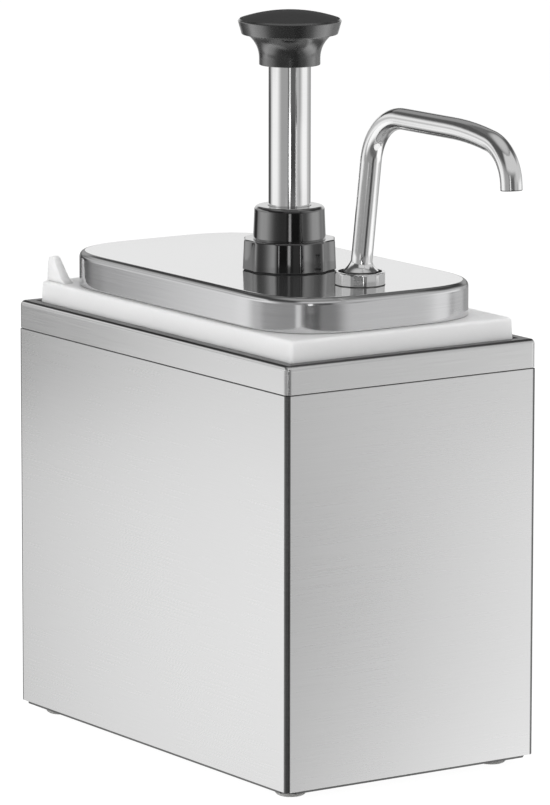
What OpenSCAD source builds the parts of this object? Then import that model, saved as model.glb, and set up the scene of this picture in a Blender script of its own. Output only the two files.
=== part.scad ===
// Countertop sauce dispenser: a steel housing, a plastic container, and a lid that carries a hand pump.
// +Z is up and the spout points to -Y. The origin is on the table, under the middle of the outer box.

/* [Housing] */
// Outside width of the housing
housing_w = 134; // [124:1:160]
// Outside length of the housing
housing_l = 221; // [212:1:260]
// Height of the folded wall below the top frame
housing_h = 176.4; // [165:0.2:220]
// Thickness of the steel sheet
sheet_t = 1; // [0.8:0.1:1.4]
// Outside radius of the four upright bends
wall_bend_r = 1.6; // [1.5:0.1:4]
// Height of the top frame above the wall
frame_h = 12.8; // [11:0.2:20]
// Outside radius of the upright corners of the top frame
frame_corner_r = 2.6; // [2:0.1:5]
// Width of the flat rim turned in around the container
rim_w = 7; // [5:0.5:10]
// Outside radius of the bend between frame wall and rim
rim_bend_r = 1.5; // [1.5:0.1:1.9]
// Depth of the lip turned down inside the rim
rim_lip_h = 6; // [3:0.5:8]
// Length of the frame spigot inside the housing wall
spigot_h = 8; // [4:0.5:15]

/* [Base] */
// Thickness of the base plate
base_t = 1; // [0.8:0.1:2]
// Height of the base plate's edge turned up inside the wall
upstand_h = 8; // [4:0.5:15]
// Setback of the base plate from the outside of the wall
base_inset = 0.5; // [0.2:0.1:1]
// Corner cut of the base plate
base_corner_cut = 5; // [2:0.5:8]
// Diameter of a foot where it is stuck on
foot_d = 14.4; // [10:0.2:20]
// Height of a foot
foot_h = 4; // [3:0.2:8]
// Rounding radius of a foot's lower edge
foot_round = 2.5; // [1:0.1:3]
// Distance from the housing's side to a foot's centre
foot_inset_x = 12.5; // [12:0.5:30]
// Distance from the housing's front or back to a foot's centre
foot_inset_y = 15; // [12:0.5:40]

/* [Container] */
// Wall thickness of the container
container_wall = 2.2; // [1.5:0.1:3]
// Height of the container's shoulder above the top frame
shoulder_rise = 9.3; // [6:0.1:20]
// Depth of the shoulder below the top of the frame
shoulder_drop = 10.5; // [8:0.5:20]
// How much the shoulder narrows on each side above the frame
shoulder_draft = 0.5; // [0.3:0.1:1.5]
// Outside radius of the shoulder's upright corners
shoulder_corner_r = 4.6; // [4.2:0.1:8]
// Gap between the shoulder and the lip of the frame, at the foot of the shoulder
shoulder_gap = 0.3; // [0.2:0.1:1]
// Setback of the container's body from its shoulder
body_setback = 2.5; // [2.4:0.1:10]
// Outside radius of the body's upright corners
body_corner_r = 12; // [6:1:25]
// Height of the neck that centres the lid
neck_h = 8; // [4:0.5:11]
// Length of the corner fin
fin_l = 12; // [8:0.5:14]
// Height of the corner fin
fin_h = 10.4; // [6:0.2:14]
// Thickness of the corner fin
fin_t = 4.8; // [3:0.1:6]
// Distance from the shoulder's side to the fin
fin_inset = 4.5; // [2:0.1:6]
// Radius of the fin's top
fin_top_r = 2.4; // [1:0.1:3]

/* [Lid] */
// Outside width of the lid
lid_w = 111; // [108:0.5:112]
// Outside length of the lid
lid_l = 198; // [190:0.5:199]
// Height of the lid
lid_h = 15.7; // [13:0.1:22]
// Outside radius of the lid's upright corners
lid_corner_r = 34; // [25:1:40]
// Outside radius of the bend around the lid's top
lid_bend_r = 2.4; // [1.5:0.1:5]
// Setback of the lid and neck towards the back
lid_shift = 1.5; // [0:0.1:2]
// Gap between the lid's skirt and the container's neck
neck_gap = 0.6; // [0.3:0.1:1.5]

/* [Pump] */
// Place of the pump axis along the length of the lid
pump_y = -13.5; // [-20:0.1:10]
// Travel of the plunger
stroke = 52; // [30:1:55]
// Bore of the pump cylinder
bore_d = 27; // [24:0.5:28]
// Wall of the pump cylinder
cylinder_wall = 2; // [1.5:0.1:3]
// Diameter of the threaded neck on the cylinder
neck_thread_d = 33; // [31.5:0.1:33.5]
// Height of the threaded neck above the lid
neck_rise = 10.7; // [8:0.1:12]
// Pitch of the neck thread
neck_pitch = 3; // [2:0.1:3.5]
// Depth of the neck thread
neck_thread_depth = 0.7; // [0.4:0.1:1]
// Diameter of the cylinder's flange under the lid
cylinder_flange_d = 46; // [40:1:50]
// Thickness of the cylinder's flange
cylinder_flange_t = 3; // [2:0.1:5]
// Thickness of the gasket between flange and lid
gasket_t = 1.5; // [1:0.1:3]
// Radial clearance of turning and sliding fits
run_fit = 0.05; // [0.02:0.01:0.1]
// Clearance between parts that pass each other without touching
pass_gap = 0.3; // [0.2:0.05:0.5]

/* [Lock collar] */
// Diameter of the ribbed nut at its foot
collar_d = 43.4; // [42:0.1:48]
// Diameter of the ribbed nut at its top
collar_top_d = 42.2; // [41:0.1:48]
// Height of the ribbed nut
collar_h = 13.8; // [12.5:0.1:20]
// Edge bevel of the ribbed nut
collar_bevel = 0.8; // [0.3:0.1:1.5]
// Number of finger grooves around the nut
groove_count = 12; // [8:1:18]
// Radius of the hollow of a finger groove
groove_r = 15; // [8:0.5:20]
// Depth of a finger groove
groove_depth = 1.2; // [0.5:0.1:1.6]
// Angle of the first finger groove
groove_phase = 26; // [0:1:30]
// Diameter of the boss at its foot
boss_d = 32.7; // [31:0.1:34]
// Diameter of the boss at its top
boss_top_d = 31.6; // [30:0.1:34]
// Height of the boss above the nut
boss_h = 14.9; // [12:0.1:20]
// Rounding of the boss's top edge
boss_round = 2; // [1:0.1:2.5]
// Thickness of the boss's end wall
boss_roof = 2; // [1.5:0.1:3]
// Wall of the guide bush
bush_wall = 2.9; // [2:0.1:3.2]
// Thickness of the guide bush's flange
bush_flange_t = 1.3; // [1:0.1:2]
// Length of the bush's spigot inside the cylinder
bush_spigot_h = 4; // [3.5:0.1:6]
// Height of the wiper seal
wiper_h = 2.8; // [2:0.1:3.2]
// Width of the wiper seal's section
wiper_wall = 2.2; // [1.8:0.1:2.5]
// Width of the groove behind the wiper's lip
wiper_groove_w = 0.8; // [0.4:0.1:1]
// Depth of the groove behind the wiper's lip
wiper_groove_h = 1.4; // [0.6:0.1:1.6]

/* [Plunger] */
// Outside diameter of the plunger tube
plunger_d = 19.05; // [18:0.05:19.5]
// Wall of the plunger tube
plunger_wall = 1.2; // [0.8:0.1:2]
// Length of plunger tube that shows between collar and knob
exposed_l = 63.5; // [60:0.5:75]
// Thickness of the closed end of the plunger tube
tube_end_t = 4; // [3:0.5:8]
// Diameter of the knob's rim
knob_d = 46.6; // [42:0.1:52]
// Diameter of the rim's lower edge
knob_rim_low_d = 43.2; // [40:0.1:48]
// Flat ledge under the rim, outside the flare
knob_ledge = 2.6; // [0.2:0.1:5]
// Diameter of the knob's stem
knob_stem_d = 27.5; // [26:0.1:30]
// Height of the knob below its rim
knob_stem_h = 13.8; // [12:0.1:20]
// Straight part at the foot of the stem
knob_stem_straight = 3; // [1:0.1:4]
// Height of the rim's side
knob_rim_h = 6; // [4:0.1:9]
// Bevel between the rim and the domed top
knob_bevel = 0.9; // [0.4:0.1:1.5]
// Rise of the domed top
knob_dome_h = 3.7; // [2:0.1:6]
// Depth of tube held inside the knob
knob_socket_h = 8; // [5:0.5:10]
// Diameter of the stud that holds the knob
stud_d = 10; // [8:0.5:12]
// Thread pitch of the knob's stud
stud_pitch = 1.5; // [1:0.1:2]
// Thread depth of the knob's stud
stud_thread_depth = 0.45; // [0.2:0.05:0.8]
// Width across corners of the knob's threaded insert
insert_d = 16; // [14:0.5:16.5]
// Height of the knob's threaded insert
insert_h = 9; // [6:0.5:10]
// Length of the plug inside the plunger tube
plug_h = 12; // [8:0.5:20]
// Length of the piston
piston_l = 20; // [18:0.5:26]
// Depth of the tube's seat in the piston
piston_socket_h = 6; // [4:0.5:8]
// Height of the piston seal
piston_seal_h = 5; // [3:0.5:6]
// Width of the piston seal's section
piston_seal_wall = 2.6; // [2:0.1:3]
// Edge bevel of the piston seal
seal_bevel = 0.8; // [0.3:0.1:1]
// Thickness of the web between tube seat and screw head
piston_web_t = 4; // [3:0.5:6]
// Shank diameter of the piston screw
screw_d = 6; // [4:0.5:6]
// Head diameter of the piston screw
screw_head_d = 11; // [9:0.5:12]
// Head height of the piston screw
screw_head_h = 3.4; // [2.5:0.1:5]
// Width across corners of the hex socket in the screw's head
screw_key_d = 5.8; // [3:0.1:7]
// Depth of the hex socket in the screw's head
screw_key_h = 1.8; // [1:0.1:2]

/* [Return spring] */
// Wire diameter of the return spring
wire_d = 1.8; // [1.2:0.1:2]
// Mean coil diameter of the return spring
coil_d = 21.6; // [20:0.1:22]
// Number of coils
coil_turns = 9; // [6:1:9]
// Gap between the pressed coils
coil_rest_gap = 0.45; // [0.4:0.05:1]

/* [Valves] */
// Diameter of the inlet ball
inlet_ball_d = 12.7; // [11:0.1:13]
// Bore of the inlet seat
inlet_seat_d = 10; // [7:0.5:10]
// Travel of the inlet ball
inlet_lift = 3.2; // [2:0.1:4]
// Diameter of the outlet ball
outlet_ball_d = 9.5; // [8.5:0.1:10]
// Bore of the outlet seat
outlet_seat_d = 7; // [5:0.5:7]
// Travel of the outlet ball
outlet_lift = 2.5; // [2:0.1:4]
// Gap around a ball in its pocket
pocket_gap = 1.2; // [0.8:0.1:1.3]
// Thickness of the inlet ball's cage
inlet_cage_t = 2.2; // [1.5:0.1:3]
// Diameter of a flow hole in the inlet ball's cage
inlet_hole_d = 3.6; // [2:0.1:4]
// Number of flow holes in the inlet ball's cage
inlet_hole_count = 6; // [3:1:8]
// Thickness of the outlet ball's cage
outlet_cage_t = 1.8; // [1.2:0.1:3]
// Diameter of a flow hole in the outlet ball's cage
outlet_hole_d = 2.6; // [1.5:0.1:3]
// Number of flow holes in the outlet ball's cage
outlet_hole_count = 5; // [3:1:6]
// Thickness of the wall that holds a seat
seat_t = 4; // [3:0.5:6]
// Wall of the valve body around the cylinder
valve_wall = 4.9; // [3:0.1:6]
// Depth of the cylinder's socket in the valve body
cylinder_socket_h = 10.4; // [8:0.1:16]
// Height of the seal under the cylinder
valve_seal_h = 1.6; // [1:0.1:3]
// Height of the chamber above the inlet cage
chamber_h = 14.6; // [12:0.1:20]
// Bore of the channel to the riser
channel_d = 8; // [6:0.5:8]
// Width of the arm between pump and riser
arm_w = 14; // [12:0.5:18]
// Height of the arm between pump and riser
arm_h = 16; // [12:0.5:16]
// Length of the channel plug's thread
channel_plug_l = 6; // [4:0.5:8]
// Diameter of the channel plug's thread
channel_plug_d = 10; // [9:0.5:12]
// Width across corners of the channel plug's head
channel_head_d = 15; // [13:0.5:18]
// Height of the channel plug's head
channel_head_h = 3.5; // [2:0.5:5]
// Outside diameter of the suction tube
suction_d = 16; // [14:0.5:18]
// Wall of the suction tube
suction_wall = 1.5; // [1:0.1:2]
// Depth of the suction tube's socket
suction_socket_h = 10; // [6:0.5:14]
// Height of the suction tube's mouth above the container floor
suction_clear = 9; // [5:0.5:20]
// Width of the notch in the suction tube's mouth
notch_w = 8; // [4:0.5:10]
// Height of the notch in the suction tube's mouth
notch_h = 4.5; // [2:0.5:10]

/* [Riser] */
// Distance from the pump axis to the riser axis
riser_pitch = 55.7; // [52:0.1:58]
// Outside diameter of the riser tube
riser_d = 12.7; // [12:0.1:13]
// Wall of the riser tube
riser_wall = 0.9; // [0.8:0.1:1.2]
// Wall of the boss around the riser
riser_boss_wall = 5.6; // [4:0.1:6]
// Depth of the riser's sockets
riser_socket_h = 10; // [6:0.5:14]
// Diameter of the ferrule's thread
ferrule_thread_d = 19; // [18.6:0.1:19.2]
// Height of the ferrule's thread above the lid
ferrule_rise = 2.5; // [2:0.1:3]
// Diameter of the ferrule's flange
ferrule_flange_d = 26; // [24:0.5:30]
// Thickness of the ferrule's flange
ferrule_flange_t = 2.5; // [2:0.1:4]
// Wall of the ferrule around the riser
ferrule_wall = 2.2; // [1.5:0.1:3]
// Thickness of the gasket under the lid
riser_gasket_t = 1; // [0.8:0.1:2]
// Section of the spout's seal ring
oring_d = 1.8; // [1.4:0.1:1.9]
// Diameter of the groove's middle
oring_pitch_d = 14.6; // [14:0.1:15]

/* [Spout] */
// Outside diameter of the spout tube
spout_d = 9.53; // [9:0.05:10]
// Wall of the spout tube
spout_wall = 0.9; // [0.7:0.1:1.2]
// Lean of the spout's upright leg
spout_lean = 8.55; // [0:0.05:10]
// Height of the level arm above the lid
arm_rise = 77; // [65:0.5:100]
// Centre radius of the first bend
first_bend_r = 25; // [15:0.5:30]
// Reach of the level arm from the riser to where it starts to droop
arm_reach = 69.9; // [55:0.1:100]
// Centre radius of the droop
droop_r = 144; // [80:1:200]
// Angle of the droop
droop_angle = 11; // [5:0.5:20]
// Centre radius of the end bend
end_bend_r = 18.3; // [14:0.1:30]
// Angle of the mouth from level
mouth_angle = 86.3; // [70:0.1:90]
// Straight length at the mouth
mouth_l = 2.8; // [1:0.1:15]
// Diameter of the flare above the nut
flare_d = 15.8; // [14:0.1:16]
// Height of the flare's straight rim
flare_rim_h = 0.5; // [0.3:0.1:0.8]
// Height of the flare's curve
flare_h = 3.9; // [2:0.1:5]
// Setback of the spout's neck from the flare's rim
flare_undercut = 0.6; // [0.4:0.1:0.8]
// Diameter of the leaning core between neck and flare
flare_core_d = 13; // [12:0.5:13.5]
// Thickness of the spout's foot flange
foot_flange_t = 1.2; // [1:0.1:1.3]
// Length of the spigot in the ferrule
spout_spigot_h = 6; // [4:0.5:10]
// Wall of the spigot in the ferrule
spout_spigot_wall = 1; // [0.8:0.1:1.1]
// Width across corners of the spout nut
nut_d = 23; // [22.5:0.1:26]
// Height of the spout nut
nut_h = 5.8; // [5.5:0.1:9]
// Number of flats on the spout nut
nut_flats = 12; // [6:6:12]
// Angle of the nut's first corner
nut_phase = 7; // [0:1:30]
// Thickness of the nut's lip over the slip ring
nut_lip_t = 1.35; // [1.2:0.05:1.5]
// Gap around the flare in the nut's hole
nut_hole_gap = 0.55; // [0.5:0.05:0.7]
// Bevel around the nut's hole
nut_bevel = 0.9; // [0.2:0.1:1]
// Thickness of the slip ring
slip_ring_t = 0.6; // [0.4:0.1:1]

/* [Hidden] */
$fn = 96;

// Overlap of a cutting tool past the face that it cuts
over = 1;
// Number of sides that a bent tube is previewed with
tube_sides = 32;
// Lap between the lengths of a bent tube, and what a bend is thicker by
tube_lap = 0.3;
tube_swell = 0.04;
// How far the flare's curve is sunk into the tube, so that the two cross
flare_sink = 0.15;

// Heights of the housing, from the table up
base_z = foot_h;
floor_z = base_z + base_t;
seam_z = floor_z + housing_h;
frame_top_z = seam_z + frame_h;
opening_w = housing_w - 2 * rim_w;
opening_l = housing_l - 2 * rim_w;

// Container
shoulder_top_z = frame_top_z + shoulder_rise;
shoulder_foot_z = frame_top_z - shoulder_drop;
shoulder_w = opening_w - 2 * shoulder_gap;
shoulder_l = opening_l - 2 * shoulder_gap;
deck_w = shoulder_w - 2 * shoulder_draft;
deck_l = shoulder_l - 2 * shoulder_draft;
deck_corner_r = shoulder_corner_r - shoulder_draft;
body_w = shoulder_w - 2 * body_setback;
body_l = shoulder_l - 2 * body_setback;

// Lid and the neck inside it
lid_z = shoulder_top_z + lid_h;
lid_under_z = lid_z - sheet_t;
neck_setback = sheet_t + neck_gap;
neck_w = lid_w - 2 * neck_setback;
neck_l = lid_l - 2 * neck_setback;
neck_corner_r = lid_corner_r - neck_setback;

// Pump cylinder and collar
cylinder_d = bore_d + 2 * cylinder_wall;
flange_top_z = lid_under_z - gasket_t;
neck_top_z = lid_z + neck_rise;
boss_z = lid_z + collar_h;
collar_taper = atan((collar_d - collar_top_d) / 2 / collar_h);
collar_top_z = boss_z + boss_h;
collar_thread_d = neck_thread_d + 2 * run_fit;
bush_bore_d = plunger_d + 2 * run_fit;
bush_d = bush_bore_d + 2 * bush_wall;
bush_flange_top_z = neck_top_z + bush_flange_t;
bush_top_z = collar_top_z - boss_roof - pass_gap;
bush_foot_z = neck_top_z - bush_spigot_h;

// Plunger
knob_z = collar_top_z + exposed_l;
tube_top_z = knob_z + knob_socket_h;
piston_top_z = bush_foot_z - pass_gap;
tube_foot_z = piston_top_z - piston_socket_h;
piston_foot_z = piston_top_z - piston_l;
piston_d = bore_d - 2 * pass_gap;
seal_d = bore_d - 2 * run_fit;
seal_inner_d = seal_d - 2 * piston_seal_wall;
seal_z = piston_top_z - piston_socket_h - piston_seal_h;
web_top_z = tube_foot_z;
screw_recess_z = web_top_z - piston_web_t;

// Return spring, from the inlet cage to the piston
spring_pressed_l = coil_turns * (wire_d + coil_rest_gap) + wire_d;
spring_foot_z = piston_foot_z - stroke - spring_pressed_l;
spring_l = piston_foot_z - spring_foot_z;

// Valve body, from the cage down and up
pocket_top_z = spring_foot_z - inlet_cage_t;
shoulder_z = spring_foot_z + chamber_h - inlet_cage_t;
cylinder_foot_z = shoulder_z + valve_seal_h;
valve_top_z = cylinder_foot_z + cylinder_socket_h;
valve_d = cylinder_d + 2 * valve_wall;
inlet_sit = sqrt(pow(inlet_ball_d / 2, 2) - pow(inlet_seat_d / 2, 2)) + run_fit;
inlet_seat_z = pocket_top_z - pass_gap - inlet_lift - inlet_ball_d / 2 - inlet_sit;
inlet_ball_z = inlet_seat_z + inlet_sit;
inlet_pocket_d = inlet_ball_d + 2 * pocket_gap;
suction_top_z = inlet_seat_z - seat_t;
valve_foot_z = suction_top_z - suction_socket_h;
suction_foot_z = floor_z + container_wall + suction_clear;
stub_d = suction_d + 2 * valve_wall;
stub_top_z = pocket_top_z - seat_t;
channel_z = spring_foot_z + channel_d / 2 + pass_gap;

// Riser, from the outlet valve to the lid
riser_y = pump_y - riser_pitch;
riser_boss_d = riser_d + 2 * riser_boss_wall;
outlet_seat_z = channel_z + channel_d / 2 + seat_t;
outlet_sit = sqrt(pow(outlet_ball_d / 2, 2) - pow(outlet_seat_d / 2, 2)) + run_fit;
outlet_ball_z = outlet_seat_z + outlet_sit;
outlet_pocket_d = riser_d - 2 * riser_wall;
outlet_cage_z = outlet_ball_z + outlet_ball_d / 2 + outlet_lift + pass_gap;
riser_foot_z = outlet_cage_z + outlet_cage_t;
riser_socket_d = riser_d + 2 * run_fit;
riser_bore_d = riser_d - 2 * riser_wall;
ferrule_flange_z = lid_under_z - riser_gasket_t - ferrule_flange_t;
ferrule_foot_z = ferrule_flange_z - riser_socket_h;
riser_top_z = ferrule_flange_z;
ferrule_top_z = lid_z + ferrule_rise;

// Spout. Its leg leans from the middle of the foot flange's underside
foot_flange_z = ferrule_top_z + run_fit;
spout_bore_d = spout_d - 2 * spout_wall;
nut_bore_d = ferrule_thread_d + 2 * run_fit;
nut_top_z = lid_z + nut_h;
nut_hole_d = flare_d + 2 * nut_hole_gap;
foot_flange_d = ferrule_thread_d - 2 * pass_gap;
slip_ring_z = nut_top_z - nut_lip_t - slip_ring_t - run_fit;
flare_along = (nut_top_z - foot_flange_z) / cos(spout_lean);
arm_z = lid_z + arm_rise;
leg_rise = arm_z - foot_flange_z - first_bend_r * (1 - sin(spout_lean));
leg_length = leg_rise / cos(spout_lean);
arm_length = arm_reach - leg_rise * tan(spout_lean) - first_bend_r * cos(spout_lean);

// Place of the housing's middle, so that housing and spout together are centred on the origin
mouth_y = riser_y - arm_reach - droop_r * sin(droop_angle)
  - end_bend_r * (sin(mouth_angle) - sin(droop_angle)) - mouth_l * cos(mouth_angle);
front_y = mouth_y - spout_d / 2 * sin(mouth_angle);
housing_y = -(front_y + housing_l / 2) / 2;

// Rounded rectangle about the origin
module rounded_rect(w, l, r) {
  square([w - 2 * r, l], center = true);
  square([w, l - 2 * r], center = true);
  for (sx = [-1, 1], sy = [-1, 1])
    translate([sx * (w / 2 - r), sy * (l / 2 - r)])
      circle(r);
}

// Carries a profile around a rounded rectangle, with x = 0 of the profile on the outline
module edge_sweep(w, l, r) {
  for (q = [0 : 3]) {
    across = q % 2 == 0 ? w : l;
    along = (q % 2 == 0 ? l : w) - 2 * r;
    rotate([0, 0, 90 * q]) {
      translate([across / 2, along / 2, 0])
        rotate([90, 0, 0])
          linear_extrude(height = along)
            children();
      translate([across / 2 - r, along / 2, 0])
        rotate_extrude(angle = 90)
          translate([r, 0])
            children();
    }
  }
}

// Section of a sheet bend in the first quadrant
module bend_section(r, t) {
  intersection() {
    difference() {
      circle(r);
      circle(r - t);
    }
    square(r);
  }
}

// Ring between two diameters
module ring(outer_d, inner_d, h) {
  difference() {
    cylinder(d = outer_d, h = h);
    translate([0, 0, -over])
      cylinder(d = inner_d, h = h + 2 * over);
  }
}

// Outside thread shown as square grooves, cut from a rod that stands on z = 0
module thread_cuts(d, depth, pitch, h) {
  for (z = [pitch / 2 : pitch : h - pitch / 2])
    translate([0, 0, z])
      ring(d + 2 * over, d - 2 * depth, pitch / 2);
}

// Places a child in the middle of the housing, on the pump axis or on the riser axis
module at_housing(z = 0)
  translate([0, housing_y, z]) children();

module at_pump(z = 0)
  at_housing(z) translate([0, pump_y, 0]) children();

module at_riser(z = 0)
  at_housing(z) translate([0, riser_y, 0]) children();

module housing() color("silver") {
  at_housing(floor_z)
    linear_extrude(height = housing_h)
      difference() {
        rounded_rect(housing_w, housing_l, wall_bend_r);
        rounded_rect(housing_w - 2 * sheet_t, housing_l - 2 * sheet_t, wall_bend_r - sheet_t);
      }
}

module cut_rect(w, l, cut) {
  polygon([
    [w / 2 - cut, -l / 2], [w / 2, -l / 2 + cut], [w / 2, l / 2 - cut], [w / 2 - cut, l / 2],
    [-w / 2 + cut, l / 2], [-w / 2, l / 2 - cut], [-w / 2, -l / 2 + cut], [-w / 2 + cut, -l / 2]
  ]);
}

module base_plate() color("darkgray") {
  inner_w = housing_w - 2 * sheet_t;
  inner_l = housing_l - 2 * sheet_t;
  at_housing(base_z)
    linear_extrude(height = base_t)
      cut_rect(housing_w - 2 * base_inset, housing_l - 2 * base_inset, base_corner_cut);
  at_housing(floor_z)
    linear_extrude(height = upstand_h)
      difference() {
        cut_rect(inner_w, inner_l, base_corner_cut);
        cut_rect(inner_w - 2 * base_t, inner_l - 2 * base_t, base_corner_cut);
      }
}

module top_frame() color("silver") {
  spigot_w = housing_w - 2 * sheet_t;
  spigot_l = housing_l - 2 * sheet_t;
  at_housing(seam_z) {
    edge_sweep(housing_w, housing_l, frame_corner_r) {
      translate([-sheet_t, 0])
        square([sheet_t, frame_h - rim_bend_r]);
    }
    edge_sweep(housing_w, housing_l, frame_corner_r) {
      translate([-rim_bend_r, frame_h - rim_bend_r])
        bend_section(rim_bend_r, sheet_t);
    }
  }
  at_housing(frame_top_z - sheet_t)
    linear_extrude(height = sheet_t)
      difference() {
        rounded_rect(housing_w - 2 * rim_bend_r, housing_l - 2 * rim_bend_r, frame_corner_r - rim_bend_r);
        rounded_rect(opening_w, opening_l, shoulder_corner_r);
      }
  at_housing(frame_top_z - rim_lip_h)
    linear_extrude(height = rim_lip_h - sheet_t)
      difference() {
        rounded_rect(opening_w + 2 * sheet_t, opening_l + 2 * sheet_t, shoulder_corner_r + sheet_t);
        rounded_rect(opening_w, opening_l, shoulder_corner_r);
      }
  at_housing(seam_z - spigot_h)
    linear_extrude(height = 2 * spigot_h)
      difference() {
        rounded_rect(spigot_w, spigot_l, frame_corner_r - sheet_t);
        rounded_rect(spigot_w - 2 * sheet_t, spigot_l - 2 * sheet_t, frame_corner_r - sheet_t);
      }
}

// One rounded rubber foot
module foot() {
  straight_r = foot_d / 2 - foot_round;
  cylinder(r = straight_r, h = foot_h);
  translate([0, 0, foot_round])
    cylinder(d = foot_d, h = foot_h - foot_round);
  rotate_extrude()
    translate([straight_r, foot_round])
      intersection() {
        circle(foot_round);
        translate([0, -foot_round])
          square(foot_round);
      }
}

module feet() color("whitesmoke") {
  at_housing()
    for (sx = [-1, 1], sy = [-1, 1])
      translate([sx * (housing_w / 2 - foot_inset_x), sy * (housing_l / 2 - foot_inset_y), 0])
        foot();
}

// Side view of the corner fin, upright at the back and sloping to the front
module fin_profile() {
  translate([fin_top_r, fin_h - fin_top_r])
    circle(fin_top_r);
  square([2 * fin_top_r, fin_h - fin_top_r]);
  polygon([
    [fin_top_r * (1 + cos(fin_tangent())), fin_h - fin_top_r * (1 - sin(fin_tangent()))],
    [fin_l, 0],
    [fin_top_r, 0],
    [fin_top_r, fin_h - fin_top_r]
  ]);
}

// Angle at which the slope leaves the fin's rounded top for the tip of its foot
function fin_tangent() =
  acos(fin_top_r / norm([fin_l - fin_top_r, fin_h - fin_top_r]))
  - atan((fin_h - fin_top_r) / (fin_l - fin_top_r));

// Stiffening fin on the deck, flush with the back of the container
module fin() {
  at_housing(shoulder_top_z)
    intersection() {
      translate([fin_inset + fin_t - deck_w / 2, deck_l / 2, 0])
        rotate([90, 0, -90])
          linear_extrude(height = fin_t)
            fin_profile();
      linear_extrude(height = fin_h)
        rounded_rect(deck_w, deck_l, deck_corner_r);
    }
}

// Section of the shoulder's drafted wall above the frame
module shoulder_section() {
  polygon([
    [0, 0], [-shoulder_draft, shoulder_rise],
    [-shoulder_draft - container_wall, shoulder_rise], [-container_wall, 0]
  ]);
}

module container() color("white") {
  inner_w = body_w - 2 * container_wall;
  inner_l = body_l - 2 * container_wall;
  inner_r = body_corner_r - container_wall;
  throat_w = neck_w - 2 * container_wall;
  throat_l = neck_l - 2 * container_wall;
  throat_r = neck_corner_r - container_wall;
  // Body with its floor
  at_housing(floor_z)
    difference() {
      linear_extrude(height = shoulder_foot_z - floor_z + container_wall)
        rounded_rect(body_w, body_l, body_corner_r);
      translate([0, 0, container_wall])
        linear_extrude(height = shoulder_foot_z - floor_z + over)
          rounded_rect(inner_w, inner_l, inner_r);
    }
  // Ledge from the body out to the shoulder
  at_housing(shoulder_foot_z)
    linear_extrude(height = container_wall)
      difference() {
        rounded_rect(shoulder_w, shoulder_l, shoulder_corner_r);
        rounded_rect(inner_w, inner_l, inner_r);
      }
  // Shoulder, upright inside the frame and drafted above it
  at_housing(shoulder_foot_z + container_wall)
    linear_extrude(height = shoulder_drop - container_wall)
      difference() {
        rounded_rect(shoulder_w, shoulder_l, shoulder_corner_r);
        rounded_rect(shoulder_w - 2 * container_wall, shoulder_l - 2 * container_wall,
          shoulder_corner_r - container_wall);
      }
  at_housing(frame_top_z)
    edge_sweep(shoulder_w, shoulder_l, shoulder_corner_r)
      shoulder_section();
  // Deck and neck
  at_housing(shoulder_top_z - container_wall)
    linear_extrude(height = container_wall)
      difference() {
        rounded_rect(deck_w, deck_l, deck_corner_r);
        translate([0, lid_shift])
          rounded_rect(throat_w, throat_l, throat_r);
      }
  at_housing(shoulder_top_z)
    translate([0, lid_shift, 0])
      linear_extrude(height = neck_h)
        difference() {
          rounded_rect(neck_w, neck_l, neck_corner_r);
          rounded_rect(throat_w, throat_l, throat_r);
        }
  fin();
}

module lid() color("silver") {
  difference() {
    at_housing(shoulder_top_z) translate([0, lid_shift, 0]) {
      edge_sweep(lid_w, lid_l, lid_corner_r)
        translate([-sheet_t, 0])
          square([sheet_t, lid_h - lid_bend_r]);
      edge_sweep(lid_w, lid_l, lid_corner_r)
        translate([-lid_bend_r, lid_h - lid_bend_r])
          bend_section(lid_bend_r, sheet_t);
      translate([0, 0, lid_h - sheet_t])
        linear_extrude(height = sheet_t)
          rounded_rect(lid_w - 2 * lid_bend_r, lid_l - 2 * lid_bend_r, lid_corner_r - lid_bend_r);
    }
    at_pump(lid_under_z - over)
      cylinder(d = neck_thread_d + 2 * pass_gap, h = sheet_t + 2 * over);
    at_riser(lid_under_z - over)
      cylinder(d = ferrule_thread_d + 2 * pass_gap, h = sheet_t + 2 * over);
  }
}

module pump_cylinder() color("white") {
  neck_l = neck_top_z - flange_top_z;
  difference() {
    union() {
      at_pump(cylinder_foot_z)
        cylinder(d = cylinder_d, h = flange_top_z - cylinder_foot_z);
      at_pump(flange_top_z - cylinder_flange_t)
        cylinder(d = cylinder_flange_d, h = cylinder_flange_t);
      at_pump(flange_top_z)
        cylinder(d = neck_thread_d, h = neck_l);
    }
    at_pump(cylinder_foot_z - over)
      cylinder(d = bore_d, h = neck_top_z - cylinder_foot_z + 2 * over);
    at_pump(lid_z)
      thread_cuts(neck_thread_d, neck_thread_depth, neck_pitch, neck_rise);
  }
}

module cylinder_gasket() color("dimgray") {
  at_pump(flange_top_z)
    ring(cylinder_flange_d, neck_thread_d + 2 * pass_gap, gasket_t);
}

// Rod with a bevel around its top and bottom edges
module bevelled_rod(foot_d, top_d, h, bevel) {
  cylinder(d1 = foot_d - 2 * bevel, d2 = foot_d, h = bevel);
  translate([0, 0, bevel])
    cylinder(d1 = foot_d, d2 = top_d, h = h - 2 * bevel);
  translate([0, 0, h - bevel])
    cylinder(d1 = top_d, d2 = top_d - 2 * bevel, h = bevel);
}

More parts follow.
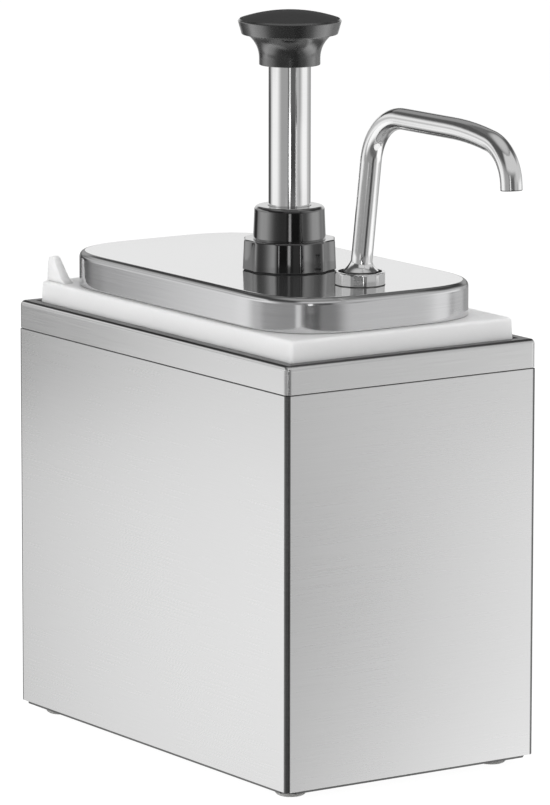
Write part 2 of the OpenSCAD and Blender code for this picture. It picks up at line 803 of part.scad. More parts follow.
module lock_collar() color("black") {
  difference() {
    union() {
      at_pump(lid_z)
        difference() {
          bevelled_rod(collar_d, collar_top_d, collar_h, collar_bevel);
          for (i = [0 : groove_count - 1])
            rotate([0, 0, groove_phase + i * 360 / groove_count])
              translate([collar_d / 2 + groove_r - groove_depth, 0, 0])
                rotate([0, -collar_taper, 0])
                  translate([0, 0, -groove_r])
                    cylinder(r = groove_r, h = collar_h + 2 * groove_r);
        }
      at_pump(boss_z - over) {
        cylinder(d1 = boss_d, d2 = boss_top_d, h = boss_h + over - boss_round);
        cylinder(d = boss_top_d - 2 * boss_round, h = boss_h + over);
      }
      at_pump(collar_top_z - boss_round)
        rotate_extrude()
          translate([boss_top_d / 2 - boss_round, 0])
            intersection() {
              circle(boss_round);
              square(boss_round);
            }
    }
    at_pump(lid_z - over)
      cylinder(d = collar_thread_d, h = bush_flange_top_z - lid_z + run_fit + over);
    at_pump(lid_z)
      cylinder(d = bush_d + 2 * run_fit, h = bush_top_z + pass_gap - lid_z);
    at_pump(lid_z)
      cylinder(d = plunger_d + 2 * pass_gap, h = collar_top_z - lid_z + over);
  }
}

module guide_bush() color("ivory") {
  wiper_seat_d = plunger_d + 2 * (wiper_wall + run_fit);
  difference() {
    union() {
      at_pump(bush_foot_z)
        cylinder(d = bore_d - 2 * run_fit, h = bush_spigot_h);
      at_pump(neck_top_z)
        cylinder(d = neck_thread_d - 2 * neck_thread_depth, h = bush_flange_t);
      at_pump(neck_top_z)
        cylinder(d = bush_d, h = bush_top_z - neck_top_z);
    }
    at_pump(bush_foot_z - over)
      cylinder(d = bush_bore_d, h = bush_top_z - bush_foot_z + 2 * over);
    at_pump(bush_foot_z - over)
      cylinder(d = wiper_seat_d, h = wiper_h + over);
  }
}

module wiper_seal() color("dimgray") {
  inner_d = plunger_d + 2 * run_fit;
  groove_d = inner_d + wiper_wall - wiper_groove_w;
  at_pump(bush_foot_z)
    difference() {
      ring(inner_d + 2 * wiper_wall, inner_d, wiper_h);
      translate([0, 0, -over])
        ring(groove_d + 2 * wiper_groove_w, groove_d, wiper_groove_h + over);
    }
}

module plunger_tube() color("silver") {
  difference() {
    at_pump(tube_foot_z)
      cylinder(d = plunger_d, h = tube_top_z - tube_foot_z);
    at_pump(tube_foot_z + tube_end_t)
      cylinder(d = plunger_d - 2 * plunger_wall, h = tube_top_z - tube_foot_z);
    at_pump(tube_foot_z - over)
      cylinder(d = screw_d + 2 * run_fit, h = tube_end_t + 2 * over);
  }
}

module plunger_plug() color("gray") {
  stud_l = insert_h + pass_gap;
  at_pump(tube_top_z - plug_h)
    cylinder(d = plunger_d - 2 * plunger_wall - 2 * run_fit, h = plug_h);
  difference() {
    at_pump(tube_top_z - over)
      cylinder(d = stud_d, h = stud_l + over);
    at_pump(tube_top_z)
      thread_cuts(stud_d, stud_thread_depth, stud_pitch, stud_l);
  }
}

// Outline of the knob turned about its axis, with its foot on y = 0
module knob_profile() {
  rim_r = knob_d / 2;
  low_r = knob_rim_low_d / 2;
  stem_r = knob_stem_d / 2;
  flare_rise = knob_stem_h - knob_stem_straight;
  flare_out = low_r - knob_ledge - stem_r;
  flare_r = (pow(flare_rise, 2) + pow(flare_out, 2)) / (2 * flare_out);
  rim_top = knob_stem_h + knob_rim_h;
  top_r = rim_r - knob_bevel;
  dome_r = (pow(top_r, 2) + pow(knob_dome_h, 2)) / (2 * knob_dome_h);
  square([stem_r, knob_stem_h]);
  difference() {
    translate([0, knob_stem_straight])
      square([rim_r, flare_rise]);
    translate([stem_r + flare_r, knob_stem_straight])
      circle(flare_r);
  }
  polygon([
    [0, knob_stem_h], [low_r, knob_stem_h], [rim_r, rim_top],
    [top_r, rim_top + knob_bevel], [0, rim_top + knob_bevel]
  ]);
  intersection() {
    translate([0, rim_top + knob_bevel + knob_dome_h - dome_r])
      circle(dome_r);
    translate([0, rim_top + knob_bevel])
      square([top_r, knob_dome_h]);
  }
}

module knob() color("black") {
  difference() {
    at_pump(knob_z)
      rotate_extrude()
        knob_profile();
    at_pump(knob_z - over)
      cylinder(d = plunger_d + 2 * run_fit, h = knob_socket_h + over);
    at_pump(tube_top_z - over)
      cylinder(d = insert_d, h = insert_h + pass_gap + over, $fn = 6);
  }
}

module knob_insert() color("gold") {
  at_pump(tube_top_z)
    difference() {
      cylinder(d = insert_d - 2 * run_fit, h = insert_h, $fn = 6);
      translate([0, 0, -over])
        cylinder(d = stud_d + 2 * run_fit, h = insert_h + 2 * over);
    }
}

module piston_head() color("ivory") {
  difference() {
    at_pump(piston_foot_z)
      cylinder(d = piston_d, h = piston_l);
    at_pump(tube_foot_z)
      cylinder(d = plunger_d + 2 * run_fit, h = piston_socket_h + over);
    at_pump(piston_foot_z - over)
      cylinder(d = screw_d + 2 * pass_gap, h = piston_l);
    at_pump(piston_foot_z - over)
      cylinder(d = screw_head_d + 2 * pass_gap, h = screw_recess_z - piston_foot_z + over);
    at_pump(seal_z)
      ring(piston_d + over, seal_inner_d, piston_seal_h);
  }
}

module piston_seal() color("dimgray") {
  face = seal_d / 2;
  back = seal_inner_d / 2 + run_fit;
  at_pump(seal_z)
    rotate_extrude()
      polygon([
        [back, run_fit], [face - seal_bevel, run_fit], [face, seal_bevel],
        [face, piston_seal_h - seal_bevel], [face - seal_bevel, piston_seal_h - run_fit],
        [back, piston_seal_h - run_fit]
      ]);
}

module piston_screw() color("silver") {
  shank_l = piston_web_t + tube_end_t;
  difference() {
    union() {
      at_pump(screw_recess_z - screw_head_h)
        cylinder(d = screw_head_d, h = screw_head_h);
      at_pump(screw_recess_z)
        cylinder(d = screw_d, h = shank_l);
    }
    at_pump(screw_recess_z - screw_head_h - over)
      cylinder(d = screw_key_d, h = screw_key_h + over, $fn = 6);
  }
}

// Return spring as one round wire along a helix
coil_steps = 16;
wire_sides = 6;
spring_rise = spring_l - wire_d;
function coil_point(i) =
  [coil_d / 2 * cos(360 * i / coil_steps), coil_d / 2 * sin(360 * i / coil_steps),
   wire_d / 2 + spring_rise * i / (coil_turns * coil_steps)];
function wire_ring(i) = [
  for (s = [0 : wire_sides - 1])
    let (a = 360 * i / coil_steps, b = 360 * s / wire_sides, r = coil_d / 2 + wire_d / 2 * cos(b))
      [r * cos(a), r * sin(a), coil_point(i)[2] + wire_d / 2 * sin(b)]
];
function last_ring() = coil_turns * coil_steps;
function side_face(i, s) =
  let (n = (s + 1) % wire_sides, a = i * wire_sides, b = a + wire_sides)
    [[a + s, b + s, b + n], [a + s, b + n, a + n]];

module return_spring() color("lightgray") {
  points = [for (i = [0 : last_ring()]) each wire_ring(i)];
  sides = [for (i = [0 : last_ring() - 1], s = [0 : wire_sides - 1]) each side_face(i, s)];
  first_end = [for (s = [1 : wire_sides - 2]) [0, s, s + 1]];
  last_start = last_ring() * wire_sides;
  last_end = [for (s = [1 : wire_sides - 2]) [last_start, last_start + s + 1, last_start + s]];
  at_pump(spring_foot_z)
    polyhedron(points = points, faces = concat(sides, first_end, last_end), convexity = 10);
}

// Least gap between neighbouring coils at rest, measured between points one turn apart
spring_gap = min([for (i = [0 : last_ring() - coil_steps])
  norm(coil_point(i + coil_steps) - coil_point(i)) - wire_d]);
echo(spring_gap = spring_gap);

module valve_body() color("white") {
  boss_r = riser_boss_d / 2;
  difference() {
    union() {
      at_pump(stub_top_z)
        cylinder(d = valve_d, h = valve_top_z - stub_top_z);
      at_pump(valve_foot_z)
        cylinder(d = stub_d, h = stub_top_z - valve_foot_z + over);
      at_riser(channel_z - arm_h / 2)
        translate([-arm_w / 2, 0, 0])
          cube([arm_w, riser_pitch, arm_h]);
      at_riser(channel_z - arm_h / 2)
        cylinder(d = riser_boss_d, h = outlet_cage_z + riser_socket_h - channel_z + arm_h / 2);
    }
    // Cylinder socket, chamber, ball pocket, seat and suction socket
    at_pump(shoulder_z)
      cylinder(d = cylinder_d + 2 * run_fit, h = valve_top_z - shoulder_z + over);
    at_pump(pocket_top_z)
      cylinder(d = bore_d, h = shoulder_z - pocket_top_z + over);
    at_pump(inlet_seat_z)
      cylinder(d = inlet_pocket_d, h = pocket_top_z - inlet_seat_z + over);
    at_pump(suction_top_z - over)
      cylinder(d = inlet_seat_d, h = seat_t + 2 * over);
    at_pump(valve_foot_z - over)
      cylinder(d = suction_d + 2 * run_fit, h = suction_socket_h + over);
    // Channel to the riser, with the thread of its plug
    at_pump(channel_z)
      rotate([90, 0, 0])
        cylinder(d = channel_d, h = riser_pitch + boss_r + over);
    at_riser(channel_z)
      translate([0, channel_plug_l - boss_r, 0])
        rotate([90, 0, 0])
          cylinder(d = channel_plug_d, h = channel_plug_l + over);
    // Outlet seat, ball pocket and riser socket
    at_riser(channel_z)
      cylinder(d = outlet_seat_d, h = outlet_seat_z - channel_z + over);
    at_riser(outlet_seat_z)
      cylinder(d = outlet_pocket_d, h = outlet_cage_z - outlet_seat_z + over);
    at_riser(outlet_cage_z)
      cylinder(d = riser_socket_d, h = riser_socket_h + over);
  }
}

module valve_seal() color("dimgray") {
  at_pump(shoulder_z)
    ring(cylinder_d, bore_d, valve_seal_h);
}

// Disc with a ring of flow holes, which keeps a ball in its pocket
module ball_cage(outer_d, hole_d, hole_pitch_d, hole_count, t) {
  difference() {
    cylinder(d = outer_d, h = t);
    for (i = [0 : hole_count - 1])
      rotate([0, 0, i * 360 / hole_count])
        translate([hole_pitch_d / 2, 0, -over])
          cylinder(d = hole_d, h = t + 2 * over);
  }
}

module inlet_cage() color("silver") {
  pitch_d = inlet_pocket_d - inlet_hole_d;
  at_pump(pocket_top_z)
    ball_cage(bore_d - 2 * run_fit, inlet_hole_d, pitch_d, inlet_hole_count, inlet_cage_t);
}

module outlet_cage() color("silver") {
  pitch_d = outlet_pocket_d - outlet_hole_d;
  at_riser(outlet_cage_z)
    ball_cage(riser_d, outlet_hole_d, pitch_d, outlet_hole_count, outlet_cage_t);
}

module inlet_ball() color("silver") {
  at_pump(inlet_ball_z)
    sphere(d = inlet_ball_d);
}

module outlet_ball() color("silver") {
  at_riser(outlet_ball_z)
    sphere(d = outlet_ball_d);
}

module channel_plug() color("white") {
  at_riser(channel_z)
    translate([0, channel_plug_l - riser_boss_d / 2, 0])
      rotate([90, 0, 0]) {
        cylinder(d = channel_plug_d - 2 * run_fit, h = channel_plug_l + over);
        translate([0, 0, channel_plug_l])
          cylinder(d = channel_head_d, h = channel_head_h, $fn = 6);
      }
}

module suction_tube() color("whitesmoke") {
  at_pump(suction_foot_z)
    difference() {
      ring(suction_d, suction_d - 2 * suction_wall, suction_top_z - suction_foot_z);
      // Notch that keeps the mouth open against the floor
      translate([-suction_d, -notch_w / 2, -over])
        cube([2 * suction_d, notch_w, notch_h + over]);
    }
}

module discharge_riser() color("silver") {
  at_riser(riser_foot_z)
    ring(riser_d, riser_bore_d, riser_top_z - riser_foot_z);
}

module riser_ferrule() color("silver") {
  difference() {
    union() {
      at_riser(ferrule_foot_z)
        cylinder(d = riser_socket_d + 2 * ferrule_wall, h = ferrule_flange_z - ferrule_foot_z);
      at_riser(ferrule_flange_z)
        cylinder(d = ferrule_flange_d, h = ferrule_flange_t);
      at_riser(ferrule_flange_z + ferrule_flange_t)
        cylinder(d = ferrule_thread_d, h = ferrule_top_z - ferrule_flange_z - ferrule_flange_t);
    }
    at_riser(ferrule_foot_z - over)
      cylinder(d = riser_socket_d, h = riser_socket_h + over);
    at_riser(ferrule_foot_z)
      cylinder(d = riser_bore_d, h = ferrule_top_z - ferrule_foot_z + over);
    at_riser(ferrule_top_z - oring_d)
      ring(oring_pitch_d + oring_d + 2 * run_fit, oring_pitch_d - oring_d - 2 * run_fit, oring_d + over);
  }
}

module riser_gasket() color("dimgray") {
  at_riser(lid_under_z - riser_gasket_t)
    ring(ferrule_flange_d, ferrule_thread_d + 2 * pass_gap, riser_gasket_t);
}

module spout_oring() color("dimgray") {
  at_riser(ferrule_top_z - oring_d / 2)
    rotate_extrude()
      translate([oring_pitch_d / 2, 0])
        circle(d = oring_d);
}

// Straight length of round rod along +Z, lapped at both ends; the child goes on from its end
module straight(d, len) {
  translate([0, 0, -tube_lap])
    cylinder(d = d, h = len + 2 * tube_lap);
  translate([0, 0, len])
    children();
}

// Bend of round rod from +Z towards -Y, a little thicker than what laps into it.
// The child goes on from its end
module bend(d, r, angle, swells = 1, lap = 0) {
  translate([0, -r, 0])
    rotate([90, 0, 90])
      rotate_extrude(angle = angle + lap / r * 180 / PI)
        translate([r, 0])
          circle(d = d + swells * tube_swell);
  translate([0, -r, 0])
    rotate([angle, 0, 0])
      translate([0, r, 0])
        children();
}

// Route of the spout, from the foot of its leaning leg to its mouth
module spout_route(d, end) {
  $fn = tube_sides;
  rotate([spout_lean, 0, 0])
    straight(d, leg_length)
      bend(d, first_bend_r, 90 - spout_lean)
        straight(d, arm_length)
          bend(d, droop_r, droop_angle, lap = tube_lap)
            bend(d, end_bend_r, mouth_angle - droop_angle, swells = 2)
              straight(d, mouth_l + end - tube_lap);
}

// Core, rim and trumpet of the flare, about the leaning tube's own axis
module spout_flare() {
  core_foot = flare_core_d / 2 * tan(spout_lean) + run_fit;
  flare_out = (flare_d - spout_d) / 2;
  curve_r = (pow(flare_h, 2) + pow(flare_out, 2)) / (2 * flare_out);
  translate([0, 0, core_foot])
    cylinder(d = flare_core_d, h = flare_along - core_foot);
  translate([0, 0, flare_along - flare_rim_h])
    cylinder(d = flare_d, h = flare_rim_h);
  translate([0, 0, flare_along])
    rotate_extrude()
      difference() {
        square([flare_d / 2, flare_h]);
        translate([spout_d / 2 + curve_r - flare_sink, flare_h])
          circle(curve_r);
      }
}

module spout() color("silver") {
  spigot_d = riser_bore_d - 2 * run_fit;
  neck_top = flare_core_d * sin(spout_lean) + 2 * run_fit;
  difference() {
    union() {
      at_riser(foot_flange_z - spout_spigot_h)
        cylinder(d = spigot_d, h = spout_spigot_h);
      at_riser(foot_flange_z)
        cylinder(d = foot_flange_d, h = foot_flange_t);
      at_riser(foot_flange_z)
        cylinder(d = flare_d - 2 * flare_undercut, h = neck_top);
      at_riser(foot_flange_z)
        rotate([spout_lean, 0, 0])
          spout_flare();
      at_riser(foot_flange_z)
        spout_route(spout_d, 0);
    }
    at_riser(foot_flange_z - spout_spigot_h - over)
      cylinder(d = spigot_d - 2 * spout_spigot_wall, h = spout_spigot_h + over);
    at_riser(foot_flange_z)
      spout_route(spout_bore_d, over);
  }
}

module slip_ring() color("white") {
  at_riser(slip_ring_z)
    ring(foot_flange_d, nut_hole_d, slip_ring_t);
}

module spout_nut() color("silver") {
  at_riser(lid_z)
    difference() {
      rotate([0, 0, nut_phase])
        cylinder(d = nut_d, h = nut_h, $fn = nut_flats);
      translate([0, 0, -over])
        cylinder(d = nut_bore_d, h = nut_h - nut_lip_t + over);
      translate([0, 0, -over])
        cylinder(d = nut_hole_d, h = nut_h + 2 * over);
      translate([0, 0, nut_h - nut_bevel])
        cylinder(d1 = nut_hole_d, d2 = nut_hole_d + 2 * nut_bevel, h = nut_bevel);
    }
}

housing();
base_plate();
top_frame();
feet();
container();
lid();
pump_cylinder();
cylinder_gasket();
lock_collar();
guide_bush();
wiper_seal();
plunger_tube();
plunger_plug();
knob();
knob_insert();
piston_head();
piston_seal();
piston_screw();
return_spring();
valve_body();
valve_seal();
inlet_cage();
inlet_ball();
outlet_cage();
outlet_ball();
channel_plug();
suction_tube();
discharge_riser();
riser_ferrule();
riser_gasket();
spout();
spout_oring();
slip_ring();
spout_nut();
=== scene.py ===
import math
import bpy
import bmesh
from mathutils import Matrix, Vector


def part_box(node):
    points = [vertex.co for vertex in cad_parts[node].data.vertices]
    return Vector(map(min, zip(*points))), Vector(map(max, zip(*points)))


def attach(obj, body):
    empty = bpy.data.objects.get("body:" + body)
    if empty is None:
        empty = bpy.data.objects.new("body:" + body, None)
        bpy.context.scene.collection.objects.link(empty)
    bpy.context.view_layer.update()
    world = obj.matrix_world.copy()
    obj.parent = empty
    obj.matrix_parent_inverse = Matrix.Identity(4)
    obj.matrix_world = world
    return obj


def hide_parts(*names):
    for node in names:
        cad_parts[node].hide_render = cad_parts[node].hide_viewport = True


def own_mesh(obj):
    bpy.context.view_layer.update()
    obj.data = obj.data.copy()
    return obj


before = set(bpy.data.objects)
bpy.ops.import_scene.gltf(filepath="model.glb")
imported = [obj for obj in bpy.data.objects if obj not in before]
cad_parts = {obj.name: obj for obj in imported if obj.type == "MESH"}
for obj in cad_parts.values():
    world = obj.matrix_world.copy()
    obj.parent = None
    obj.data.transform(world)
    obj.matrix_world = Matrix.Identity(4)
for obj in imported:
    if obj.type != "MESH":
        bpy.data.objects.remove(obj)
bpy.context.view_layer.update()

# Shapes are made in millimetres, and piece() turns them into metres. The studio is in metres.
MM = 0.001
TINY = 0.02       # width of the strips that keep flat faces flat beside a rounding
STRIP = 8 * TINY  # the same beside the corner of a rounded rectangle
FULL, QUARTER = 2 * math.pi, math.pi / 2


def corners(node):
    """Lowest and highest corner of a CAD node."""
    low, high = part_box(node)
    return low / MM, high / MM


def centre(node):
    """Middle of a CAD node's box."""
    low, high = corners(node)
    return (low + high) / 2


# Outlines and meshes

NEARLY_STRAIGHT = math.radians(89.5)
QUADRANTS = ((1, 1), (-1, 1), (-1, -1), (1, -1))
SOFTNESS = 1.4    # reach of the lid's soft corners over their radius
LEAST_R = 0.05    # corner radius where an outline has shrunk past its own radius


def rounded(points, closed=True, step=9):
    """Points (x, y, radius) as a polyline whose corners are rounded in steps of some degrees."""
    out = []
    count = len(points)
    for i, (x, y, radius) in enumerate(points):
        here = Vector((x, y))
        if radius <= 0 or (not closed and i in (0, count - 1)):
            out.append(here)
            continue
        before = Vector(points[i - 1][:2]) - here
        after = Vector(points[(i + 1) % count][:2]) - here
        room_before, room_after = before.length, after.length
        before.normalize()
        after.normalize()
        half = before.angle(after) / 2
        if half > NEARLY_STRAIGHT:
            out.append(here)
            continue
        reach = radius / math.tan(half)
        middle = here + (before + after).normalized() * (radius / math.sin(half))
        start, end = here + before * reach, here + after * reach
        a, b = start - middle, end - middle
        turn = math.pi - 2 * half
        steps = max(2, math.ceil(math.degrees(turn) / step))
        side = 1 if a.x * b.y - a.y * b.x > 0 else -1
        if room_before > reach + 3 * TINY:
            out.append(start + before * TINY)
        for k in range(steps + 1):
            t = side * turn * k / steps
            out.append(middle + Vector((a.x * math.cos(t) - a.y * math.sin(t),
                                        a.x * math.sin(t) + a.y * math.cos(t))))
        if room_after > reach + 3 * TINY:
            out.append(end + after * TINY)
    return out


def rect_ring(width, length, radius, segments):
    """Outline of a rounded rectangle, with a short strip beside each corner."""
    out = []
    for q, (sx, sy) in enumerate(QUADRANTS):
        cx, cy = sx * (width / 2 - radius), sy * (length / 2 - radius)
        a0 = q * QUARTER
        lead = Vector((math.sin(a0), -math.cos(a0))) * STRIP
        tail = Vector((-math.sin(a0 + QUARTER), math.cos(a0 + QUARTER))) * STRIP
        arc = []
        for k in range(segments + 1):
            t = a0 + QUARTER * k / segments
            arc.append(Vector((cx + radius * math.cos(t), cy + radius * math.sin(t))))
        out += [arc[0] + lead] + arc + [arc[-1] + tail]
    return out


def soft_ring(width, length, radius, segments):
    """Outline of a rectangle whose corners bend in gently, through the middle of a round corner."""
    reach = SOFTNESS * radius
    power = -math.log(2) / math.log(1 - (math.sqrt(2) - 1) / math.sqrt(2) / SOFTNESS)
    out = []
    for q, (sx, sy) in enumerate(QUADRANTS):
        cx, cy = sx * (width / 2 - reach), sy * (length / 2 - reach)
        for k in range(segments + 1):
            u = k / segments
            t = QUARTER * u * u * (3 - 2 * u)
            a, b = abs(math.cos(t)) ** (2 / power), abs(math.sin(t)) ** (2 / power)
            if q % 2:
                a, b = b, a
            out.append(Vector((cx + sx * reach * a, cy + sy * reach * b)))
    return out


def skin_rings(bm, rings, closed=False, zone=None):
    """Joins each ring to the next. zone(i, k) picks the material of face k after ring i."""
    for i in range(len(rings) if closed else len(rings) - 1):
        a, b = rings[i], rings[(i + 1) % len(rings)]
        count = max(len(a), len(b))
        for k in range(count):
            n = (k + 1) % count
            if len(a) == 1:
                face = bm.faces.new((a[0], b[n], b[k]))
            elif len(b) == 1:
                face = bm.faces.new((a[k], a[n], b[0]))
            else:
                face = bm.faces.new((a[k], a[n], b[n], b[k]))
            if zone:
                face.material_index = zone(i, k)


def circle(bm, axis, radius, z, segments):
    """A level ring about an upright axis. The radius is a number or a function of the angle."""
    ring = []
    for k in range(segments):
        a = FULL * k / segments
        r = radius(a) if callable(radius) else radius
        ring.append(bm.verts.new((axis.x + r * math.cos(a), axis.y + r * math.sin(a), z)))
    return ring


def loft_into(bm, stations, middle, segments, closed=False, zone=None, outline=rect_ring):
    """Skins a row of outlines (width, length, radius, z, shift along y). Returns the rings."""
    rings = []
    for width, length, radius, z, shift in stations:
        rings.append([bm.verts.new((middle.x + p.x, middle.y + shift + p.y, z))
                      for p in outline(width, length, radius, segments)])
    skin_rings(bm, rings, closed, zone)
    return rings


def stations_of(width, length, radius, profile, shift=0.0):
    """A profile of (offset from the outline, z) carried around a rounded rectangle."""
    return [(width + 2 * p.x, length + 2 * p.x, max(radius + p.x, LEAST_R), p.y, shift)
            for p in profile]


def lathe_into(bm, profile, axis, segments, closed=True, zone=None):
    """Turns a profile of (radius, z) about an upright axis. A point on the axis is a pole."""
    rings = []
    for p in profile:
        if p.x < 1e-6:
            rings.append([bm.verts.new((axis.x, axis.y, p.y))])
        else:
            rings.append(circle(bm, axis, p.x, p.y, segments))
    skin_rings(bm, rings, closed, zone)


# Materials

def noise_at(tree, coords, scale, stretch, detail=3.0, roughness=0.55):
    """A noise texture in object space, stretched along the axes."""
    mapping = tree.nodes.new("ShaderNodeMapping")
    mapping.inputs["Scale"].default_value = stretch
    tree.links.new(coords, mapping.inputs["Vector"])
    noise = tree.nodes.new("ShaderNodeTexNoise")
    noise.inputs["Scale"].default_value = scale
    noise.inputs["Detail"].default_value = detail
    noise.inputs["Roughness"].default_value = roughness
    tree.links.new(mapping.outputs["Vector"], noise.inputs["Vector"])
    return noise.outputs["Fac"]


def spread(tree, value, low, high, source=(0.3, 0.7)):
    """Maps the source range of a value to low and high."""
    node = tree.nodes.new("ShaderNodeMapRange")
    node.inputs["From Min"].default_value, node.inputs["From Max"].default_value = source
    node.inputs["To Min"].default_value, node.inputs["To Max"].default_value = low, high
    tree.links.new(value, node.inputs["Value"])
    return node.outputs["Result"]


def blend_colors(tree, factor, dark, light):
    """The dark colour at a factor of 0 and the light one at 1."""
    node = tree.nodes.new("ShaderNodeMix")
    node.data_type = "RGBA"
    node.inputs["A"].default_value = (*dark, 1)
    node.inputs["B"].default_value = (*light, 1)
    tree.links.new(factor, node.inputs["Factor"])
    return node.outputs["Result"]


def surface(name, dark, light, rough, metallic, grain, grain_scale, mottle_scale, bump, height,
            rim_gloss=None, **sockets):
    """A finish with fine grain and slow mottling in colour, roughness and relief.

    The height of the relief is in micrometres. rim_gloss is the weight of the coat seen
    square on and edge on.
    """
    material = bpy.data.materials.new(name)
    material.use_nodes = True
    tree = material.node_tree
    shader = tree.nodes["Principled BSDF"]
    coords = tree.nodes.new("ShaderNodeTexCoord").outputs["Object"]
    fine = noise_at(tree, coords, grain_scale, grain)
    slow = noise_at(tree, coords, mottle_scale, EVEN, detail=2.0, roughness=0.5)
    both = tree.nodes.new("ShaderNodeMath")
    both.operation = "MULTIPLY_ADD"
    tree.links.new(slow, both.inputs[0])
    both.inputs[1].default_value = MOTTLE_SHARE
    tree.links.new(spread(tree, fine, 0.0, 1 - MOTTLE_SHARE), both.inputs[2])
    color = blend_colors(tree, both.outputs["Value"], dark, light)
    tree.links.new(color, shader.inputs["Base Color"])
    tree.links.new(spread(tree, both.outputs["Value"], *rough, source=(0.25, 0.75)),
                   shader.inputs["Roughness"])
    relief = tree.nodes.new("ShaderNodeBump")
    relief.inputs["Strength"].default_value = bump
    relief.inputs["Distance"].default_value = height * 1e-6
    tree.links.new(fine, relief.inputs["Height"])
    tree.links.new(relief.outputs["Normal"], shader.inputs["Normal"])
    if rim_gloss:
        facing = tree.nodes.new("ShaderNodeLayerWeight").outputs["Facing"]
        tree.links.new(spread(tree, facing, 0.0, 1.0, rim_gloss), shader.inputs["Coat Weight"])
    shader.inputs["Metallic"].default_value = metallic
    for key, value in sockets.items():
        shader.inputs[key.replace("_", " ")].default_value = value
    return material


def grey(v, blue=0.0):
    """An even grey, or one with a little more blue."""
    return (v, v, v * (1 + blue))


MOTTLE_SHARE = 0.6
EVEN = (1, 1, 1)
ACROSS = (0.012, 0.012, 1)  # brushing runs level around upright walls
ALONG = (1, 0.012, 1)       # brushing runs along the lid

# dark and light colour, roughness, metallic, grain and its scale, mottle's scale, bump, height
FINISH = {
    "brushed_steel": (grey(0.74), grey(0.8), (0.26, 0.32), 1.0, ACROSS, 2600, 12, 0.05, 15),
    "frame_steel": (grey(0.7), grey(0.79), (0.2, 0.28), 1.0, ACROSS, 2200, 14, 0.1, 15),
    # painted shade: the rim is a darker copy of the frame's steel
    "rim_painted_shade": (grey(0.48), grey(0.56), (0.2, 0.28), 1.0, ALONG, 2200, 14, 0.1, 15),
    # painted shade: a near-black steel that stands for the dark lines of shade on corners, bends,
    # edges and gaps
    "painted_shade_steel": (grey(0.15), grey(0.23), (0.3, 0.4), 1.0, ACROSS, 2200, 14, 0.1, 15),
    # painted shade: near-black steel for the base plate's edge and the frame's spigot, standing for
    # the shadow under the wall and in the seam
    "base_steel": (grey(0.14), grey(0.2), (0.35, 0.5), 1.0, ALONG, 1500, 20, 0.15, 20),
    "lid_side": (grey(0.66, 0.01), grey(0.76, 0.01), (0.1, 0.16), 1.0, ACROSS, 2400, 16, 0.1, 10),
    # painted shade: the lid's bend is a darker copy of the lid's side steel
    "bend_painted_shade": (grey(0.46), grey(0.54), (0.12, 0.18), 1.0, ACROSS, 2400, 16, 0.1, 10),
    "lid_top": (grey(0.72), grey(0.77), (0.06, 0.09), 0.95, ALONG, 1800, 10, 0.03, 6),
    "polished_tube": (grey(0.86), grey(0.92), (0.04, 0.09), 1.0, ACROSS, 3200, 30, 0.06, 8),
    "chrome": (grey(0.88), grey(0.94), (0.09, 0.15), 1.0, EVEN, 500, 40, 0.03, 10),
    "nut_steel": (grey(0.68), grey(0.78), (0.1, 0.17), 1.0, ACROSS, 2400, 60, 0.08, 10),
    "spring_steel": (grey(0.5), grey(0.62), (0.2, 0.35), 1.0, EVEN, 900, 60, 0.1, 20),
    "plug_steel": (grey(0.5), grey(0.6), (0.25, 0.4), 1.0, ACROSS, 1800, 60, 0.1, 20),
    "brass": ((0.62, 0.42, 0.16), (0.78, 0.55, 0.25), (0.2, 0.35), 1.0,
              ACROSS, 1800, 60, 0.1, 20),
    "milky_plastic": ((0.92, 0.92, 0.915), (0.95, 0.95, 0.945), (0.38, 0.48), 0.0,
                      EVEN, 700, 18, 0.05, 30),
    "white_plastic": ((0.78, 0.79, 0.79), (0.85, 0.855, 0.855), (0.35, 0.5), 0.0,
                      EVEN, 700, 40, 0.06, 30),
    "ivory_plastic": ((0.74, 0.7, 0.58), (0.82, 0.78, 0.66), (0.35, 0.5), 0.0,
                      EVEN, 700, 40, 0.06, 30),
    "black_plastic": (grey(0.003), grey(0.006), (0.06, 0.11), 0.0, EVEN, 1400, 60, 0.02, 10),
    "knob_plastic": (grey(0.008), grey(0.013), (0.24, 0.32), 0.0, EVEN, 1400, 60, 0.06, 20),
    "knob_matte": (grey(0.034), grey(0.044), (0.6, 0.7), 0.0, EVEN, 1400, 60, 0.1, 30),
    "grey_rubber": (grey(0.08), grey(0.13), (0.55, 0.75), 0.0, EVEN, 1200, 80, 0.2, 20),
    "foot_rubber": ((0.62, 0.62, 0.6), (0.72, 0.72, 0.7), (0.3, 0.45), 0.0,
                    EVEN, 900, 80, 0.1, 30),
}
EXTRAS = {
    # painted shade: a low edge tint darkens the steels that stand for shade still further
    "rim_painted_shade": {"Specular_Tint": (0.4, 0.4, 0.4, 1)},
    "painted_shade_steel": {"Specular_Tint": (0.2, 0.2, 0.2, 1)},
    "bend_painted_shade": {"Specular_Tint": (0.5, 0.5, 0.5, 1)},
    "milky_plastic": {"Subsurface_Weight": 1.0, "Subsurface_Scale": 0.003,
                      "Subsurface_Radius": (1.0, 1.0, 1.0)},
    "black_plastic": {"rim_gloss": (0.035, 0.25), "IOR": 1.65, "Coat_IOR": 2.6,
                      "Coat_Roughness": 0.05},
    "knob_plastic": {"rim_gloss": (0.05, 0.36), "IOR": 1.65, "Coat_IOR": 2.3,
                     "Coat_Roughness": 0.2},
    "knob_matte": {"IOR": 1.35},
    "foot_rubber": {"Transmission_Weight": 0.25},
}
MAT = {name: surface(name, *values, **EXTRAS.get(name, {})) for name, values in FINISH.items()}

